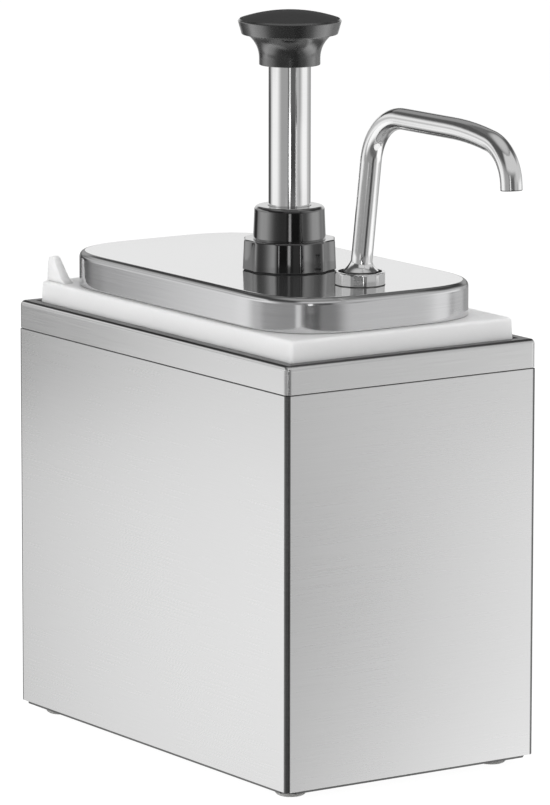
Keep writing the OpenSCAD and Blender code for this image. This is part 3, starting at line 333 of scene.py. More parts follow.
# The finish of each CAD node that stays as it is
NODE_FINISH = {
    # The base plate's near-black steel is painted shade for the dark line under the wall.
    "base_plate": "base_steel", "feet": "foot_rubber", "pump_cylinder": "white_plastic",
    "cylinder_gasket": "grey_rubber", "guide_bush": "ivory_plastic",
    "wiper_seal": "grey_rubber", "plunger_plug": "plug_steel", "knob_insert": "brass",
    "piston_head": "ivory_plastic", "piston_seal": "grey_rubber",
    "piston_screw": "plug_steel", "valve_body": "white_plastic", "valve_seal": "grey_rubber",
    "inlet_cage": "plug_steel", "inlet_ball": "polished_tube", "outlet_cage": "plug_steel",
    "outlet_ball": "polished_tube", "channel_plug": "white_plastic",
    "suction_tube": "white_plastic", "discharge_riser": "polished_tube",
    "riser_ferrule": "polished_tube", "riser_gasket": "grey_rubber",
    "spout_oring": "grey_rubber", "slip_ring": "white_plastic",
}
for node, finish in NODE_FINISH.items():
    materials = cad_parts[node].data.materials
    materials.clear()
    materials.append(MAT[finish])


def add_object(name, data):
    """Puts a mesh, a lamp or a camera into the scene."""
    obj = bpy.data.objects.new(name, data)
    bpy.context.scene.collection.objects.link(obj)
    return obj


def piece(name, bm, finishes, body, node=None, slot=None, sharp=32):
    """Makes an object of a bmesh, smooth up to an angle, that rides on a body.

    It stands for the node, whose CAD mesh it hides. The slot is not used.
    """
    bmesh.ops.recalc_face_normals(bm, faces=bm.faces)
    bmesh.ops.scale(bm, vec=(MM, MM, MM), verts=bm.verts)
    mesh = bpy.data.meshes.new(name)
    bm.to_mesh(mesh)
    bm.free()
    mesh.shade_smooth()
    mesh.set_sharp_from_angle(angle=math.radians(sharp))
    for finish in finishes:
        mesh.materials.append(MAT[finish])
    obj = add_object(name, mesh)
    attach(obj, body)
    slot = slot or finishes[0]
    if node:
        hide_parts(node)
    return obj


# Housing wall

SHEET = 1.0
SEAM = 0.5  # open seam between wall and frame
WALL_CORNER_R, WALL_SEGMENTS = 2.0, 12

house = centre("housing")
low, high = corners("housing")
house_w, house_l = high.x - low.x, high.y - low.y
wall_foot, wall_top = low.z, high.z

bm = bmesh.new()
wall_profile = rounded([(0, wall_foot, 0.15), (0, wall_top - SEAM, 0.15),
                        (-SHEET, wall_top - SEAM, 0.1), (-SHEET, wall_foot, 0.1)])


def wall_zone(i, k):
    """1 on the folded corners, painted dark as shade. Each has one point more beside either end of
    its arc.
    """
    return 1 if 0 < k % (WALL_SEGMENTS + 3) <= WALL_SEGMENTS else 0


loft_into(bm, stations_of(house_w, house_l, WALL_CORNER_R, wall_profile), house, WALL_SEGMENTS,
          closed=True, zone=wall_zone)
piece("housing_wall", bm, ["brushed_steel", "painted_shade_steel"], "base", "housing")

# Top frame: a band, a rim turned in and a lip, and a spigot inside the wall

RIM, LIP, LIP_T = 7.0, 6.0, 0.8
BAND_BEND_R, RIM_BEND_R, BAND_CORNER_R = 2.2, 1.3, 2.6
SPIGOT_RISE = 8.0
LIP_REACH = 1.35            # width of the painted shade along the rim's inner bend
PAINTED_SHADE_LINE = (-1.85, -0.5)   # the painted shade line along the band's upper bend
BAND_END = -1.6             # where the band's finish ends and the rim's begins
low, high = corners("top_frame")
frame_top, spigot_foot = high.z, low.z

bm = bmesh.new()
rim_profile = rounded([
    (0, wall_top, 0.15), (0, frame_top, BAND_BEND_R), (-RIM, frame_top, RIM_BEND_R),
    (-RIM, frame_top - LIP, 0.2), (-RIM + LIP_T, frame_top - LIP, 0.2),
    (-RIM + LIP_T, frame_top - SHEET, 0.3), (-SHEET, frame_top - SHEET, 0.5),
    (-SHEET, wall_top, 0.1)])


def rim_zone(i, k):
    """0 on the band, 1 on the rim, darkened as painted shade, 2 on the two bends, painted dark as
    shade.
    """
    x, y = rim_profile[i]
    on_line = PAINTED_SHADE_LINE[0] < x < PAINTED_SHADE_LINE[1] and y > frame_top - SHEET
    if x < -RIM + LIP_REACH or on_line:
        return 2
    return 0 if x > BAND_END else 1


loft_into(bm, stations_of(house_w, house_l, BAND_CORNER_R, rim_profile), house, segments=12,
          closed=True, zone=rim_zone)
piece("frame_band", bm, ["frame_steel", "rim_painted_shade", "painted_shade_steel"], "base", "top_frame")

bm = bmesh.new()
spigot_profile = rounded([(-SHEET, spigot_foot, 0.2), (-SHEET, wall_top + SPIGOT_RISE, 0.2),
                          (-2 * SHEET, wall_top + SPIGOT_RISE, 0.2),
                          (-2 * SHEET, spigot_foot, 0.2)])
loft_into(bm, stations_of(house_w, house_l, BAND_CORNER_R, spigot_profile), house,
          segments=8, closed=True)
# Painted shade: the spigot, seen through the open seam, gets near-black steel for the seam's
# shadow.
piece("frame_spigot", bm, ["base_steel"], "base", slot="frame_steel")

# Container: from the floor's middle up the outside, over the neck and down the inside

DECK_RISE, LEDGE_DROP, NECK_H, NECK_GAP = 9.3, 10.5, 8.0, 0.6
WALL, DRAFT = 2.2, 0.5
BODY_SETBACK, BODY_CORNER_R = 2.5, 12.0
SHOULDER_CORNER_R, INNER_CORNER_R, LID_CORNER_R = 1.8, 4.6, 34.0
TO_MIDDLE = 60.0  # more than half the body's width

low, high = corners("container")
shoulder_w, shoulder_l = high.x - low.x, high.y - low.y
tub_foot, tub_floor = low.z, low.z + WALL
deck_z, deck_under = frame_top + DECK_RISE, frame_top + DECK_RISE - WALL
ledge_z, ledge_floor = frame_top - LEDGE_DROP, frame_top - LEDGE_DROP + WALL
neck_top = deck_z + NECK_H
lid_low, lid_high = corners("lid")
lid_w, lid_l, lid_top = lid_high.x - lid_low.x, lid_high.y - lid_low.y, lid_high.z
lid_shift = centre("lid").y - house.y
neck_off = SHEET + NECK_GAP


def body_stations(profile):
    """A profile around the container's body, whose floor shrinks to corners of 1 mm."""
    body_w, body_l = shoulder_w - 2 * BODY_SETBACK, shoulder_l - 2 * BODY_SETBACK
    out = []
    for p in profile:
        x = max(p.x, 1 - BODY_CORNER_R)
        out.append((body_w + 2 * x, body_l + 2 * x, BODY_CORNER_R + x, p.y, 0))
    return out


# The first and the last point of each only give a direction, and are left out further down
outside = rounded([(-TO_MIDDLE, tub_foot, 0), (0, tub_foot, 3), (0, ledge_z, 0.6),
                   (BODY_SETBACK, ledge_z, 0)], closed=False)
shoulder = rounded([(-BODY_SETBACK, ledge_z, 0), (0, ledge_z, 0.8), (0, frame_top, 0),
                    (-DRAFT, deck_z, 1.5), (-6, deck_z, 0)], closed=False)
neck = rounded([(3, deck_z, 0), (0, deck_z, 0.6), (0, neck_top, 0.6), (-WALL, neck_top, 0.6),
                (-WALL, deck_under, 0.8), (3, deck_under, 0)], closed=False)
under_deck = rounded([(-9, deck_under, 0), (-WALL - DRAFT, deck_under, 1),
                      (-WALL, ledge_floor, 0.8), (-WALL - 3, ledge_floor, 0)], closed=False)
inside = rounded([(1, ledge_floor, 0), (-WALL, ledge_floor, 1), (-WALL, tub_floor, 4),
                  (-TO_MIDDLE, tub_floor, 0)], closed=False)
stations = body_stations(outside[1:-1])
stations += stations_of(shoulder_w, shoulder_l, SHOULDER_CORNER_R, shoulder[1:-1])
stations += stations_of(lid_w - 2 * neck_off, lid_l - 2 * neck_off, LID_CORNER_R - neck_off,
                        neck[1:-1], lid_shift)
stations += stations_of(shoulder_w, shoulder_l, INNER_CORNER_R, under_deck[1:-1])
stations += body_stations(inside[1:-1])
bm = bmesh.new()
rings = loft_into(bm, stations, house, segments=14)
bm.faces.new(rings[0])
bm.faces.new(rings[-1])
piece("container_shell", bm, ["milky_plastic"], "container", "container", sharp=40)

# Fin in the back left corner of the deck, a little thinner towards its top

FIN_L, FIN_TOP_L, FIN_H, FIN_T, FIN_INSET, FIN_TAPER = 15.3, 4.4, 11.4, 5.0, 2.7, 0.6
FIN_SINK = 0.4  # how far the fin reaches into the deck
back_y = house.y + shoulder_l / 2 - DRAFT
fin_left = house.x - shoulder_w / 2 + DRAFT + FIN_INSET
fin_side = rounded([(0, -FIN_SINK, 0), (0, FIN_H, 2.4), (FIN_TOP_L, FIN_H, 2.0),
                    (0.77 * FIN_L, 0.22 * FIN_H, 4.0), (FIN_L, -0.1, 0),
                    (FIN_L, -FIN_SINK, 0)], step=12)
fin_mid = Vector((FIN_L / 3, FIN_H / 3))
bm = bmesh.new()
rings = []
# Its side outline, from left to right, a little smaller at both faces
for x, shrink in ((0, 0.1), (0.15, 0.04), (0.5, 0),
                  (FIN_T - 0.5, 0), (FIN_T - 0.15, 0.04), (FIN_T, 0.1)):
    ring = []
    for p in fin_side:
        q = fin_mid + (p - fin_mid) * (1 - shrink)
        lean = FIN_TAPER * (q.y / FIN_H) * (1 - 2 * x / FIN_T)
        ring.append(bm.verts.new((fin_left + x + lean, back_y - q.x, deck_z + q.y)))
    rings.append(ring)
skin_rings(bm, rings)
bm.faces.new(rings[0])
bm.faces.new(rings[-1])
piece("container_fin", bm, ["milky_plastic"], "container", sharp=40)

# Lid: a pressed tray whose plate is filled in round the two holes

LID_BEND_R, TURN_IN, LID_GAP = 3.0, 7.0, 0.02
PUMP_HOLE_R, RISER_HOLE_R, HOLE_SEGMENTS = 16.8, 9.8, 64
SHADE_EDGE_H, PLATE_H, BEND_H = 0.2, 0.06, 2.0  # heights of the painted shade along the lowest edge, of the plate, and of the bend that is darkened as painted shade

pump, riser = centre("plunger_tube"), centre("discharge_riser")
lid_foot = deck_z + LID_GAP
bm = bmesh.new()
lid_profile = rounded([(-TURN_IN, lid_top, 0), (0, lid_top, LID_BEND_R), (0, lid_foot, 0.15),
                       (-SHEET, lid_foot, 0.3), (-SHEET, lid_top - SHEET, 2.0),
                       (-TURN_IN, lid_top - SHEET, 0)], closed=False)


def lid_zone(i, k):
    """0 on the plate, 1 on the side, 2 along the lowest edge, painted dark as shade, 3 on the bend,
    darkened as painted shade.
    """
    heights = lid_profile[i].y, lid_profile[i + 1].y
    if max(heights) < deck_z + SHADE_EDGE_H:
        return 2
    if min(heights) > lid_top - PLATE_H:
        return 0
    return 3 if min(heights) > lid_top - BEND_H else 1


rings = loft_into(bm, stations_of(lid_w, lid_l, LID_CORNER_R, lid_profile, lid_shift), house,
                  segments=48, zone=lid_zone, outline=soft_ring)
for ring, z in ((rings[0], lid_top), (rings[-1], lid_top - SHEET)):
    edges = [bm.edges.get((ring[k], ring[(k + 1) % len(ring)])) for k in range(len(ring))]
    for axis, radius in ((pump, PUMP_HOLE_R), (riser, RISER_HOLE_R)):
        loop = circle(bm, axis, radius, z, HOLE_SEGMENTS)
        edges += [bm.edges.new((loop[k], loop[(k + 1) % HOLE_SEGMENTS]))
                  for k in range(HOLE_SEGMENTS)]
    bmesh.ops.triangle_fill(bm, use_beauty=True, use_dissolve=False, edges=edges)
piece("lid_shell", bm, ["lid_top", "lid_side", "painted_shade_steel", "bend_painted_shade"], "lid_set", "lid",
      sharp=40)

# Lock collar with its boss

COLLAR_H, COLLAR_R, COLLAR_TOP_R, COLLAR_SEGMENTS = 13.8, 21.7, 21.1, 1080
BOSS_R, BOSS_TOP_R, BOSS_ROUND = 16.35, 15.8, 2.0
FLUTE_R, FLUTE_DEPTH, FLUTES, FLUTE_PHASE = 15.0, 1.2, 12, math.radians(26)
RIDGE_SOFT = 0.8   # rounding of the ridges
UNDERCUT_R, UNDERCUT_H = 20.9, 0.45
GROOVE, GROOVE_H = 0.3, 0.45  # shadow groove under the boss
PASS_R, BUSH_R, THREAD_R = 9.7, 12.6, 16.55  # bores for the plunger, the bush and the neck
PASS_H, BUSH_DROP, CHAMFER = 2.0, 1.6, 0.1
FADE_FROM, FADE_W = 0.7, 3.4  # where the hollows fade out on the collar's top, off the boss

low, high = corners("lock_collar")
collar_z, collar_top = low.z, high.z
boss_z = collar_z + COLLAR_H


def flute(angle, radius):
    """Depth of the finger hollows at an angle, with rounded ridges between them."""
    pitch = FULL / FLUTES
    a = ((angle - FLUTE_PHASE + pitch / 2) % pitch) - pitch / 2
    far = radius - FLUTE_DEPTH + FLUTE_R
    hollow = far * math.cos(a) - math.sqrt(FLUTE_R ** 2 - (far * math.sin(a)) ** 2)
    depth = radius - hollow
    return (depth + math.sqrt(depth ** 2 + RIDGE_SOFT ** 2) - RIDGE_SOFT / 2) / 2


bm = bmesh.new()
collar_profile = rounded([
    (UNDERCUT_R, collar_z, 0), (UNDERCUT_R, collar_z + UNDERCUT_H, 0),
    (COLLAR_R - 0.03, collar_z + 0.5, 0.2), (COLLAR_TOP_R, boss_z, 0.8),
    (BOSS_R - GROOVE, boss_z, 0.05), (BOSS_R - GROOVE, boss_z + GROOVE_H, 0.05),
    (BOSS_R, boss_z + 0.5, 0.1), (BOSS_TOP_R, collar_top, BOSS_ROUND),
    (PASS_R + 0.05, collar_top, 0.2), (PASS_R, collar_top - PASS_H, 0)], closed=False)
rings = []
for p in collar_profile:
    on_boss = p.y > boss_z + 0.01
    share = 0.0 if on_boss else max(0.0, min(1.0, (p.x - BOSS_R - FADE_FROM) / FADE_W))
    around = COLLAR_R + (COLLAR_TOP_R - COLLAR_R) * (p.y - collar_z) / COLLAR_H
    rings.append(circle(bm, pump, lambda a: p.x - share * flute(a, around), p.y,
                        COLLAR_SEGMENTS))
for r, z in ((BUSH_R, collar_top - PASS_H - CHAMFER), (BUSH_R, boss_z - BUSH_DROP),
             (THREAD_R, boss_z - BUSH_DROP - CHAMFER), (THREAD_R, collar_z)):
    rings.append(circle(bm, pump, r, z, COLLAR_SEGMENTS))
skin_rings(bm, rings, closed=True, zone=lambda i, k: 1 if i < 2 else 0)
piece("lock_collar_ribbed", bm, ["black_plastic", "knob_matte"], "collar", "lock_collar",
      sharp=50)

# Plunger tube and knob

TUBE_WALL, TUBE_END_T, SCREW_R = 1.2, 4.0, 3.1
TURNED_SEGMENTS = 160
low, high = corners("plunger_tube")
tube_r = (high.x - low.x) / 2
tube_profile = rounded([
    (SCREW_R, low.z, 0.3), (tube_r, low.z, 0.5), (tube_r, high.z, 0.3),
    (tube_r - TUBE_WALL, high.z, 0.3), (tube_r - TUBE_WALL, low.z + TUBE_END_T, 0.3),
    (SCREW_R, low.z + TUBE_END_T, 0.3)])
bm = bmesh.new()
lathe_into(bm, tube_profile, pump, TURNED_SEGMENTS)
piece("plunger_stem", bm, ["polished_tube"], "plunger", "plunger_tube")

STEM_H, STEM_STRAIGHT, RIM_H, DOME_H, KNOB_BEVEL = 13.8, 3.0, 6.0, 3.7, 0.9
KNOB_R, LOW_R, STEM_R, LEDGE = 23.3, 21.6, 13.75, 2.6
SOCKET_R, SOCKET_H = 9.6, 8.0
CURVE_STEPS = 16
FLARE_SAG = 0.35  # how far the flare's end hangs below the circle's
low, high = corners("knob")
knob_z, knob_top = low.z, high.z
rim_foot, rim_top = knob_z + STEM_H, knob_z + STEM_H + RIM_H
flare_rise, flare_out = STEM_H - STEM_STRAIGHT, LOW_R - LEDGE - STEM_R
flare_r = (flare_rise ** 2 + flare_out ** 2) / (2 * flare_out)
dome_edge_r = KNOB_R - KNOB_BEVEL
dome_r = (dome_edge_r ** 2 + DOME_H ** 2) / (2 * DOME_H)
outline = [(SOCKET_R, knob_z, 0.25), (STEM_R, knob_z, 0.35), (STEM_R, knob_z + STEM_STRAIGHT, 0)]
for k in range(1, CURVE_STEPS + 1):
    t = math.asin(flare_rise / flare_r) * k / CURVE_STEPS
    outline.append((STEM_R + flare_r * (1 - math.cos(t)),
                    knob_z + STEM_STRAIGHT + flare_r * math.sin(t) - FLARE_SAG * k / CURVE_STEPS,
                    0.8 if k == CURVE_STEPS else 0))
outline += [(LOW_R, rim_foot + 0.05, 0.4), (KNOB_R, rim_top, 0.45),
            (dome_edge_r, rim_top + KNOB_BEVEL, 0.35)]
for k in range(1, CURVE_STEPS):
    t = math.asin(dome_edge_r / dome_r) * (1 - k / CURVE_STEPS)
    outline.append((dome_r * math.sin(t), knob_top - dome_r * (1 - math.cos(t)), 0))
knob_profile = [Vector((0, knob_z + SOCKET_H)), Vector((SOCKET_R, knob_z + SOCKET_H))]
knob_profile += rounded(outline, closed=False) + [Vector((0, knob_top))]


def knob_zone(i, k):
    """1 on the dome, 0 below it."""
    p = knob_profile[i]
    return 1 if p.y > rim_top + KNOB_BEVEL - 0.05 and p.x < dome_edge_r + 0.1 else 0


bm = bmesh.new()
lathe_into(bm, knob_profile, pump, TURNED_SEGMENTS, closed=False, zone=knob_zone)
piece("knob_turned", bm, ["knob_plastic", "knob_matte"], "plunger", "knob")

# Spout: one bent tube with a flared foot

LEAN, DROOP, MOUTH = math.radians(8.55), math.radians(11), math.radians(86.3)
SPOUT_R, BORE_R, MOUTH_ROUND = 9.53 / 2, 9.53 / 2 - 0.9, 0.4
ARM_RISE, ARM_REACH, MOUTH_L = 77.0, 69.9, 2.8
FIRST_R, DROOP_R, END_R = 25.0, 144.0, 18.3  # bends: up to level, along the arm, at the mouth
LEG_STEPS, ARM_STEPS, FLARE_STEPS = 12, 8, 12
# The flare's rim, and the curve from it to the tube: where it starts, what it is drawn towards
# and where it ends, as radii and as heights over the rim
RIM_R, FLARE_R, FLARE_BY_R = 7.9, 7.82, 5.5
FLARE_Z, FLARE_BY_Z, FLARE_END_Z = 0.42, 2.3, 4.7
LEVEL_Z, LEAN_RISE = 0.4, 4.0  # its rings are level up to a height, and lean fully further up
TUBE_Z, BORE_Z = 6.0, 3.0      # the tube's rings start over the rim, and its bore over the foot
foot_z = corners("riser_ferrule")[1].z + 0.05
low, high = corners("spout_nut")
nut_z, nut_top = low.z, high.z


def spout_path(step=math.radians(2.5)):
    """Centre line as (distance ahead of the riser, height, angle from upright)."""
    rise = lid_top + ARM_RISE - foot_z - FIRST_R * (1 - math.sin(LEAN))
    x, z = rise * math.tan(LEAN), foot_z + rise
    out = [(x * k / LEG_STEPS, foot_z + rise * k / LEG_STEPS, LEAN)
           for k in range(LEG_STEPS + 1)]

    def turn_to(x, z, a0, a1, radius):
        count = max(3, math.ceil((a1 - a0) / step))
        cx, cz = x + radius * math.cos(a0), z - radius * math.sin(a0)
        for k in range(1, count + 1):
            a = a0 + (a1 - a0) * k / count
            out.append((cx - radius * math.cos(a), cz + radius * math.sin(a), a))
        return out[-1][0], out[-1][1]

    x, z = turn_to(x, z, LEAN, QUARTER, FIRST_R)
    for k in range(1, ARM_STEPS + 1):
        out.append((x + (ARM_REACH - x) * k / ARM_STEPS, z, QUARTER))
    x, z = turn_to(ARM_REACH, z, QUARTER, QUARTER + DROOP, DROOP_R)
    turn_to(x, z, QUARTER + DROOP, QUARTER + MOUTH, END_R)
    out.append(along(out[-1], MOUTH_L))
    return out


def along(point, distance):
    """The point some way further on, in the tube's direction there."""
    ahead, z, a = point
    return ahead + distance * math.sin(a), z + distance * math.cos(a), a


def pipe_ring(bm, point, radius, segments=64):
    """A ring square to the tube."""
    ahead, z, a = point
    ring = []
    for k in range(segments):
        t = FULL * k / segments
        aside, up = radius * math.cos(t), radius * math.sin(t)
        ring.append(bm.verts.new((riser.x + aside, riser.y - ahead + up * math.cos(a),
                                  z + up * math.sin(a))))
    return ring


def curve(a, by, b, t):
    """A quadratic curve from a to b, drawn towards a third value."""
    return (1 - t) ** 2 * a + 2 * t * (1 - t) * by + t ** 2 * b


path = spout_path()
foot, mouth = path[0], path[-1]
rim_at = (nut_top - foot_z) / math.cos(LEAN)  # the flare's rim is level with the nut's top
flare = [(7.25, rim_at - 2.6), (7.3, rim_at - 0.75), (7.5, rim_at - 0.6), (7.85, rim_at - 0.42),
         (RIM_R, rim_at - 0.25), (RIM_R, rim_at + 0.3), (FLARE_R, rim_at + FLARE_Z)]
rim_rings = len(flare) - 1
for k in range(1, FLARE_STEPS + 1):
    t = k / FLARE_STEPS
    flare.append((curve(FLARE_R, FLARE_BY_R, SPOUT_R, t),
                  rim_at + curve(FLARE_Z, FLARE_BY_Z, FLARE_END_Z, t)))
bm = bmesh.new()
rings = []
for radius, distance in flare:  # level at the rim, square to the leaning tube further up
    ahead, z, lean = along(foot, distance)
    lean *= max(0.0, min(1.0, (distance - rim_at - LEVEL_Z) / LEAN_RISE))
    rings.append(pipe_ring(bm, (ahead, z, lean), radius))
rings += [pipe_ring(bm, p, SPOUT_R) for p in path[:-1] if p[1] > foot_z + rim_at + TUBE_Z]
mouth_ring = len(rings)
rings.append(pipe_ring(bm, along(mouth, -MOUTH_ROUND - TINY), SPOUT_R))
for k in range(5):
    t = QUARTER * k / 4
    rings.append(pipe_ring(bm, along(mouth, -MOUTH_ROUND + MOUTH_ROUND * math.sin(t)),
                           SPOUT_R - MOUTH_ROUND + MOUTH_ROUND * math.cos(t)))
rings.append(pipe_ring(bm, mouth, BORE_R + 0.1))
rings.append(pipe_ring(bm, along(mouth, -0.1), BORE_R))
rings += [pipe_ring(bm, p, BORE_R) for p in reversed(path[:-1]) if p[1] > foot_z + BORE_Z]
# Painted shade: the flare's rim and the mouth get the near-black steel for their dark lines.
skin_rings(bm, rings,
           zone=lambda i, k: 1 if i < rim_rings or mouth_ring - 1 < i < mouth_ring + 6 else 0)

# Its spigot in the ferrule, with the flange that the slip ring holds down
PLUG_R, COLLAR_IN_R, FLANGE_R, FLANGE_T = 5.4, 7.3, 9.2, 1.2
BORE_FOOT_R, PLUG_L, STEP_H = 4.4, 6.0, 2.0
plug = rounded([(BORE_FOOT_R, foot_z - PLUG_L, 0.2), (PLUG_R - 0.05, foot_z - PLUG_L, 0.2),
                (PLUG_R, foot_z, 0), (FLANGE_R, foot_z, 0.2),
                (FLANGE_R, foot_z + FLANGE_T, 0.2), (COLLAR_IN_R, foot_z + FLANGE_T, 0),
                (COLLAR_IN_R, foot_z + STEP_H, 0), (BORE_FOOT_R, foot_z + STEP_H, 0)])
lathe_into(bm, plug, riser, segments=96)
piece("spout_bent", bm, ["chrome", "painted_shade_steel"], "spout", "spout", sharp=40)

# Spout nut

FLATS, FLAT_PHASE, NUT_R, NUT_SEGMENTS = 12, math.radians(7), 11.5, 576
NUT_HOLE_R, NUT_BORE_R, NUT_LIP_H = 8.45, 9.55, 1.35
NUT_EDGE_H, NUT_TOP_R = 0.35, 9.9  # height of the painted shade along the lowest edge, and where the plain top begins, off the painted shade in the hole


def nut_radius(angle, reach):
    """Twelve flats, whose corners are cut back to a reach."""
    pitch = FULL / FLATS
    a = ((angle - FLAT_PHASE) % pitch) - pitch / 2
    return min(NUT_R * math.cos(pitch / 2) / math.cos(a), reach)


def nut_zone(i, k):
    """1 on the lowest edge and inside the hole, painted dark as shade, 0 on the flats and the top.
    """
    at = rings[i][0].co
    return 1 if at.z < nut_z + NUT_EDGE_H or at.x - riser.x < NUT_TOP_R else 0


bm = bmesh.new()
rings = []
for reach, z in ((11.1, nut_z), (11.25, nut_z + 0.12), (11.34, nut_z + 0.3),
                 (11.34, nut_z + 0.4), (11.34, nut_top - 0.9), (11.3, nut_top - 0.8),
                 (11.2, nut_top - 0.45), (11.0, nut_top - 0.15), (10.85, nut_top - 0.06),
                 (10.6, nut_top)):
    rings.append(circle(bm, riser, lambda a: nut_radius(a, reach), z, NUT_SEGMENTS))
for p in rounded([(10.5, nut_top, 0), (9.75, nut_top, 0.15), (8.75, nut_top - 0.9, 0.1),
                  (NUT_HOLE_R, nut_top - 0.95, 0.1), (NUT_HOLE_R, nut_top - NUT_LIP_H, 0.1),
                  (NUT_BORE_R, nut_top - NUT_LIP_H, 0.1), (NUT_BORE_R, nut_z, 0.15)],
                 closed=False):
    rings.append(circle(bm, riser, p.x, p.y, NUT_SEGMENTS))
skin_rings(bm, rings, closed=True, zone=nut_zone)
piece("spout_nut_faceted", bm, ["nut_steel", "painted_shade_steel"], "nut", "spout_nut", sharp=20)

# Return spring

COIL_R, WIRE_R, TURNS, TURN_STEPS, WIRE_SEGMENTS = 10.8, 0.9, 9, 40, 14
low, high = corners("return_spring")
spring_l = high.z - low.z
bm = bmesh.new()
rings = []
steps = TURNS * TURN_STEPS
for i in range(steps + 1):
    t = i / steps
    a = FULL * TURNS * t
    out = Vector((math.cos(a), math.sin(a), 0))
    middle = Vector((pump.x, pump.y, low.z + WIRE_R + (spring_l - 2 * WIRE_R) * t)) + out * COIL_R
    size = WIRE_R * (0.97 if 0 < i < steps else 0.8)
    ring = []
    for k in range(WIRE_SEGMENTS):
        b = FULL * k / WIRE_SEGMENTS
        ring.append(bm.verts.new(middle + out * size * math.cos(b)
                                 + Vector((0, 0, size * math.sin(b)))))
    rings.append(ring)
skin_rings(bm, rings)
bm.faces.new(rings[0])
bm.faces.new(rings[-1])
spring = piece("return_spring_coil", bm, ["spring_steel"], "lid_set", "return_spring")
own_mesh(spring)


# Studio, in metres

def bare_tree(owner, output):
    """Empties the node tree of a material or a world. Returns it with its output node."""
    owner.use_nodes = True
    tree = owner.node_tree
    tree.nodes.clear()
    return tree, tree.nodes.new(output)


def emission(tree, strength=1.0):
    """A white glow."""
    node = tree.nodes.new("ShaderNodeEmission")
    node.inputs["Color"].default_value = (1, 1, 1, 1)
    node.inputs["Strength"].default_value = strength
    return node


FLOOR_HALF, FLOOR_PAINT = 12.0, 0.9
# To the camera the floor is mostly its own white, and the rest keeps the object's shadow
FLOOR_WHITE, FLOOR_WHITE_SHARE = 1.17, 0.82
floor_mat = bpy.data.materials.new("floor_white")
tree, out = bare_tree(floor_mat, "ShaderNodeOutputMaterial")
paint = tree.nodes.new("ShaderNodeBsdfDiffuse")
paint.inputs["Color"].default_value = (*grey(FLOOR_PAINT), 1)
white_share = tree.nodes.new("ShaderNodeMath")
white_share.operation = "MULTIPLY"
white_share.inputs[1].default_value = FLOOR_WHITE_SHARE
camera_ray = tree.nodes.new("ShaderNodeLightPath").outputs["Is Camera Ray"]
tree.links.new(camera_ray, white_share.inputs[0])
mix = tree.nodes.new("ShaderNodeMixShader")
tree.links.new(white_share.outputs["Value"], mix.inputs["Fac"])
tree.links.new(paint.outputs["BSDF"], mix.inputs[1])
tree.links.new(emission(tree, FLOOR_WHITE).outputs["Emission"], mix.inputs[2])
tree.links.new(mix.outputs["Shader"], out.inputs["Surface"])
mesh = bpy.data.meshes.new("floor")
mesh.from_pydata([(-FLOOR_HALF, -FLOOR_HALF, 0), (FLOOR_HALF, -FLOOR_HALF, 0),
                  (FLOOR_HALF, FLOOR_HALF, 0), (-FLOOR_HALF, FLOOR_HALF, 0)],
                 [], [(0, 1, 2, 3)])
mesh.materials.append(floor_mat)
floor = add_object("floor", mesh)
floor.visible_glossy = False

# A ring of light and dark cards round the object, seen only in reflections. Each row is its
# plain level and its cards of (middle, half width, softness, level), in degrees to the right
# of the camera.
CAMERA_AZ = math.radians(-34.0)
TENT_R, TENT_STEPS = 0.58, 720
TENT_HEIGHTS = [-0.5, -0.16, -0.12, -0.08, 0.05] + [0.07 + 0.006 * k for k in range(150)]
HIGH = (0.36, [  # seen in the tube, the spout and the knob
    (-88, 10, 34, 0.97), (-138, 6, 12, 0.05), (180, 12, 14, 0.6), (92, 10, 28, 0.95),
    (128, 4, 12, 0.5), (152, 4, 10, 0.3), (45, 3, 8, 0.48), (18, 10, 7, 0.12),
    (-7, 1.5, 5, 0.16), (0, 2, 2, 1.0),
])
BLACK = (0.36, [  # seen in the boss and the collar
    (-88, 10, 34, 0.97), (-138, 6, 12, 0.05), (180, 12, 14, 0.6), (90, 8, 36, 1.0),
    (128, 4, 12, 0.5), (152, 4, 10, 0.3), (45, 3, 8, 0.48), (18, 10, 7, 0.06),
    (-7, 1.5, 5, 0.16), (0, 2.5, 2.5, 4.5),
])
LOW = (0.34, [  # seen in the lid's side
    (-90, 2, 14, 0.55), (-103, 3, 10, 0.92), (-142, 12, 12, 0.15), (180, 12, 14, 0.22),
    (-20, 2, 5, 0.8), (4, 9, 10, 0.13), (26, 6, 10, 0.27), (60, 8, 16, 0.64),
    (83, 4, 12, 0.88), (112, 6, 18, 0.6), (145, 8, 16, 0.4),
])
FACE = (0.16, [  # seen in the walls and the spout's leg
    (-10, 30, 20, 0.3), (-90, 14, 33, 1.07), (180, 20, 14, 0.5), (92, 14, 32, 1.1),
    (140, 10, 10, 0.12), (-145, 10, 10, 0.12), (45, 3, 8, 0.46), (22, 5, 6, 0.05),
    (0, 2, 3, 0.36),
])
DEEP = (0.14, [  # seen in the feet of the walls and under the knob
    (-91, 14, 34, 1.0), (86, 12, 32, 1.3), (180, 20, 14, 0.5),
])


def smooth(t):
    """Rises from 0 to 1 between 0 and 1, level at both ends."""
    t = max(0.0, min(1.0, t))
    return t * t * (3 - 2 * t)


def card_level(degrees, row):
    """Brightness of a row of cards in one direction."""
    level, row_cards = row
    for middle, half, soft, value in row_cards:
        away = abs((degrees - middle + 180) % 360 - 180)
        level += (value - level) * smooth((half + soft - away) / soft)
    return level


def window(degrees, low, high):
    """1 between two directions, fading to 0 at them over 20 degrees."""
    return smooth((degrees - low) / 20) * smooth((high - degrees) / 20)


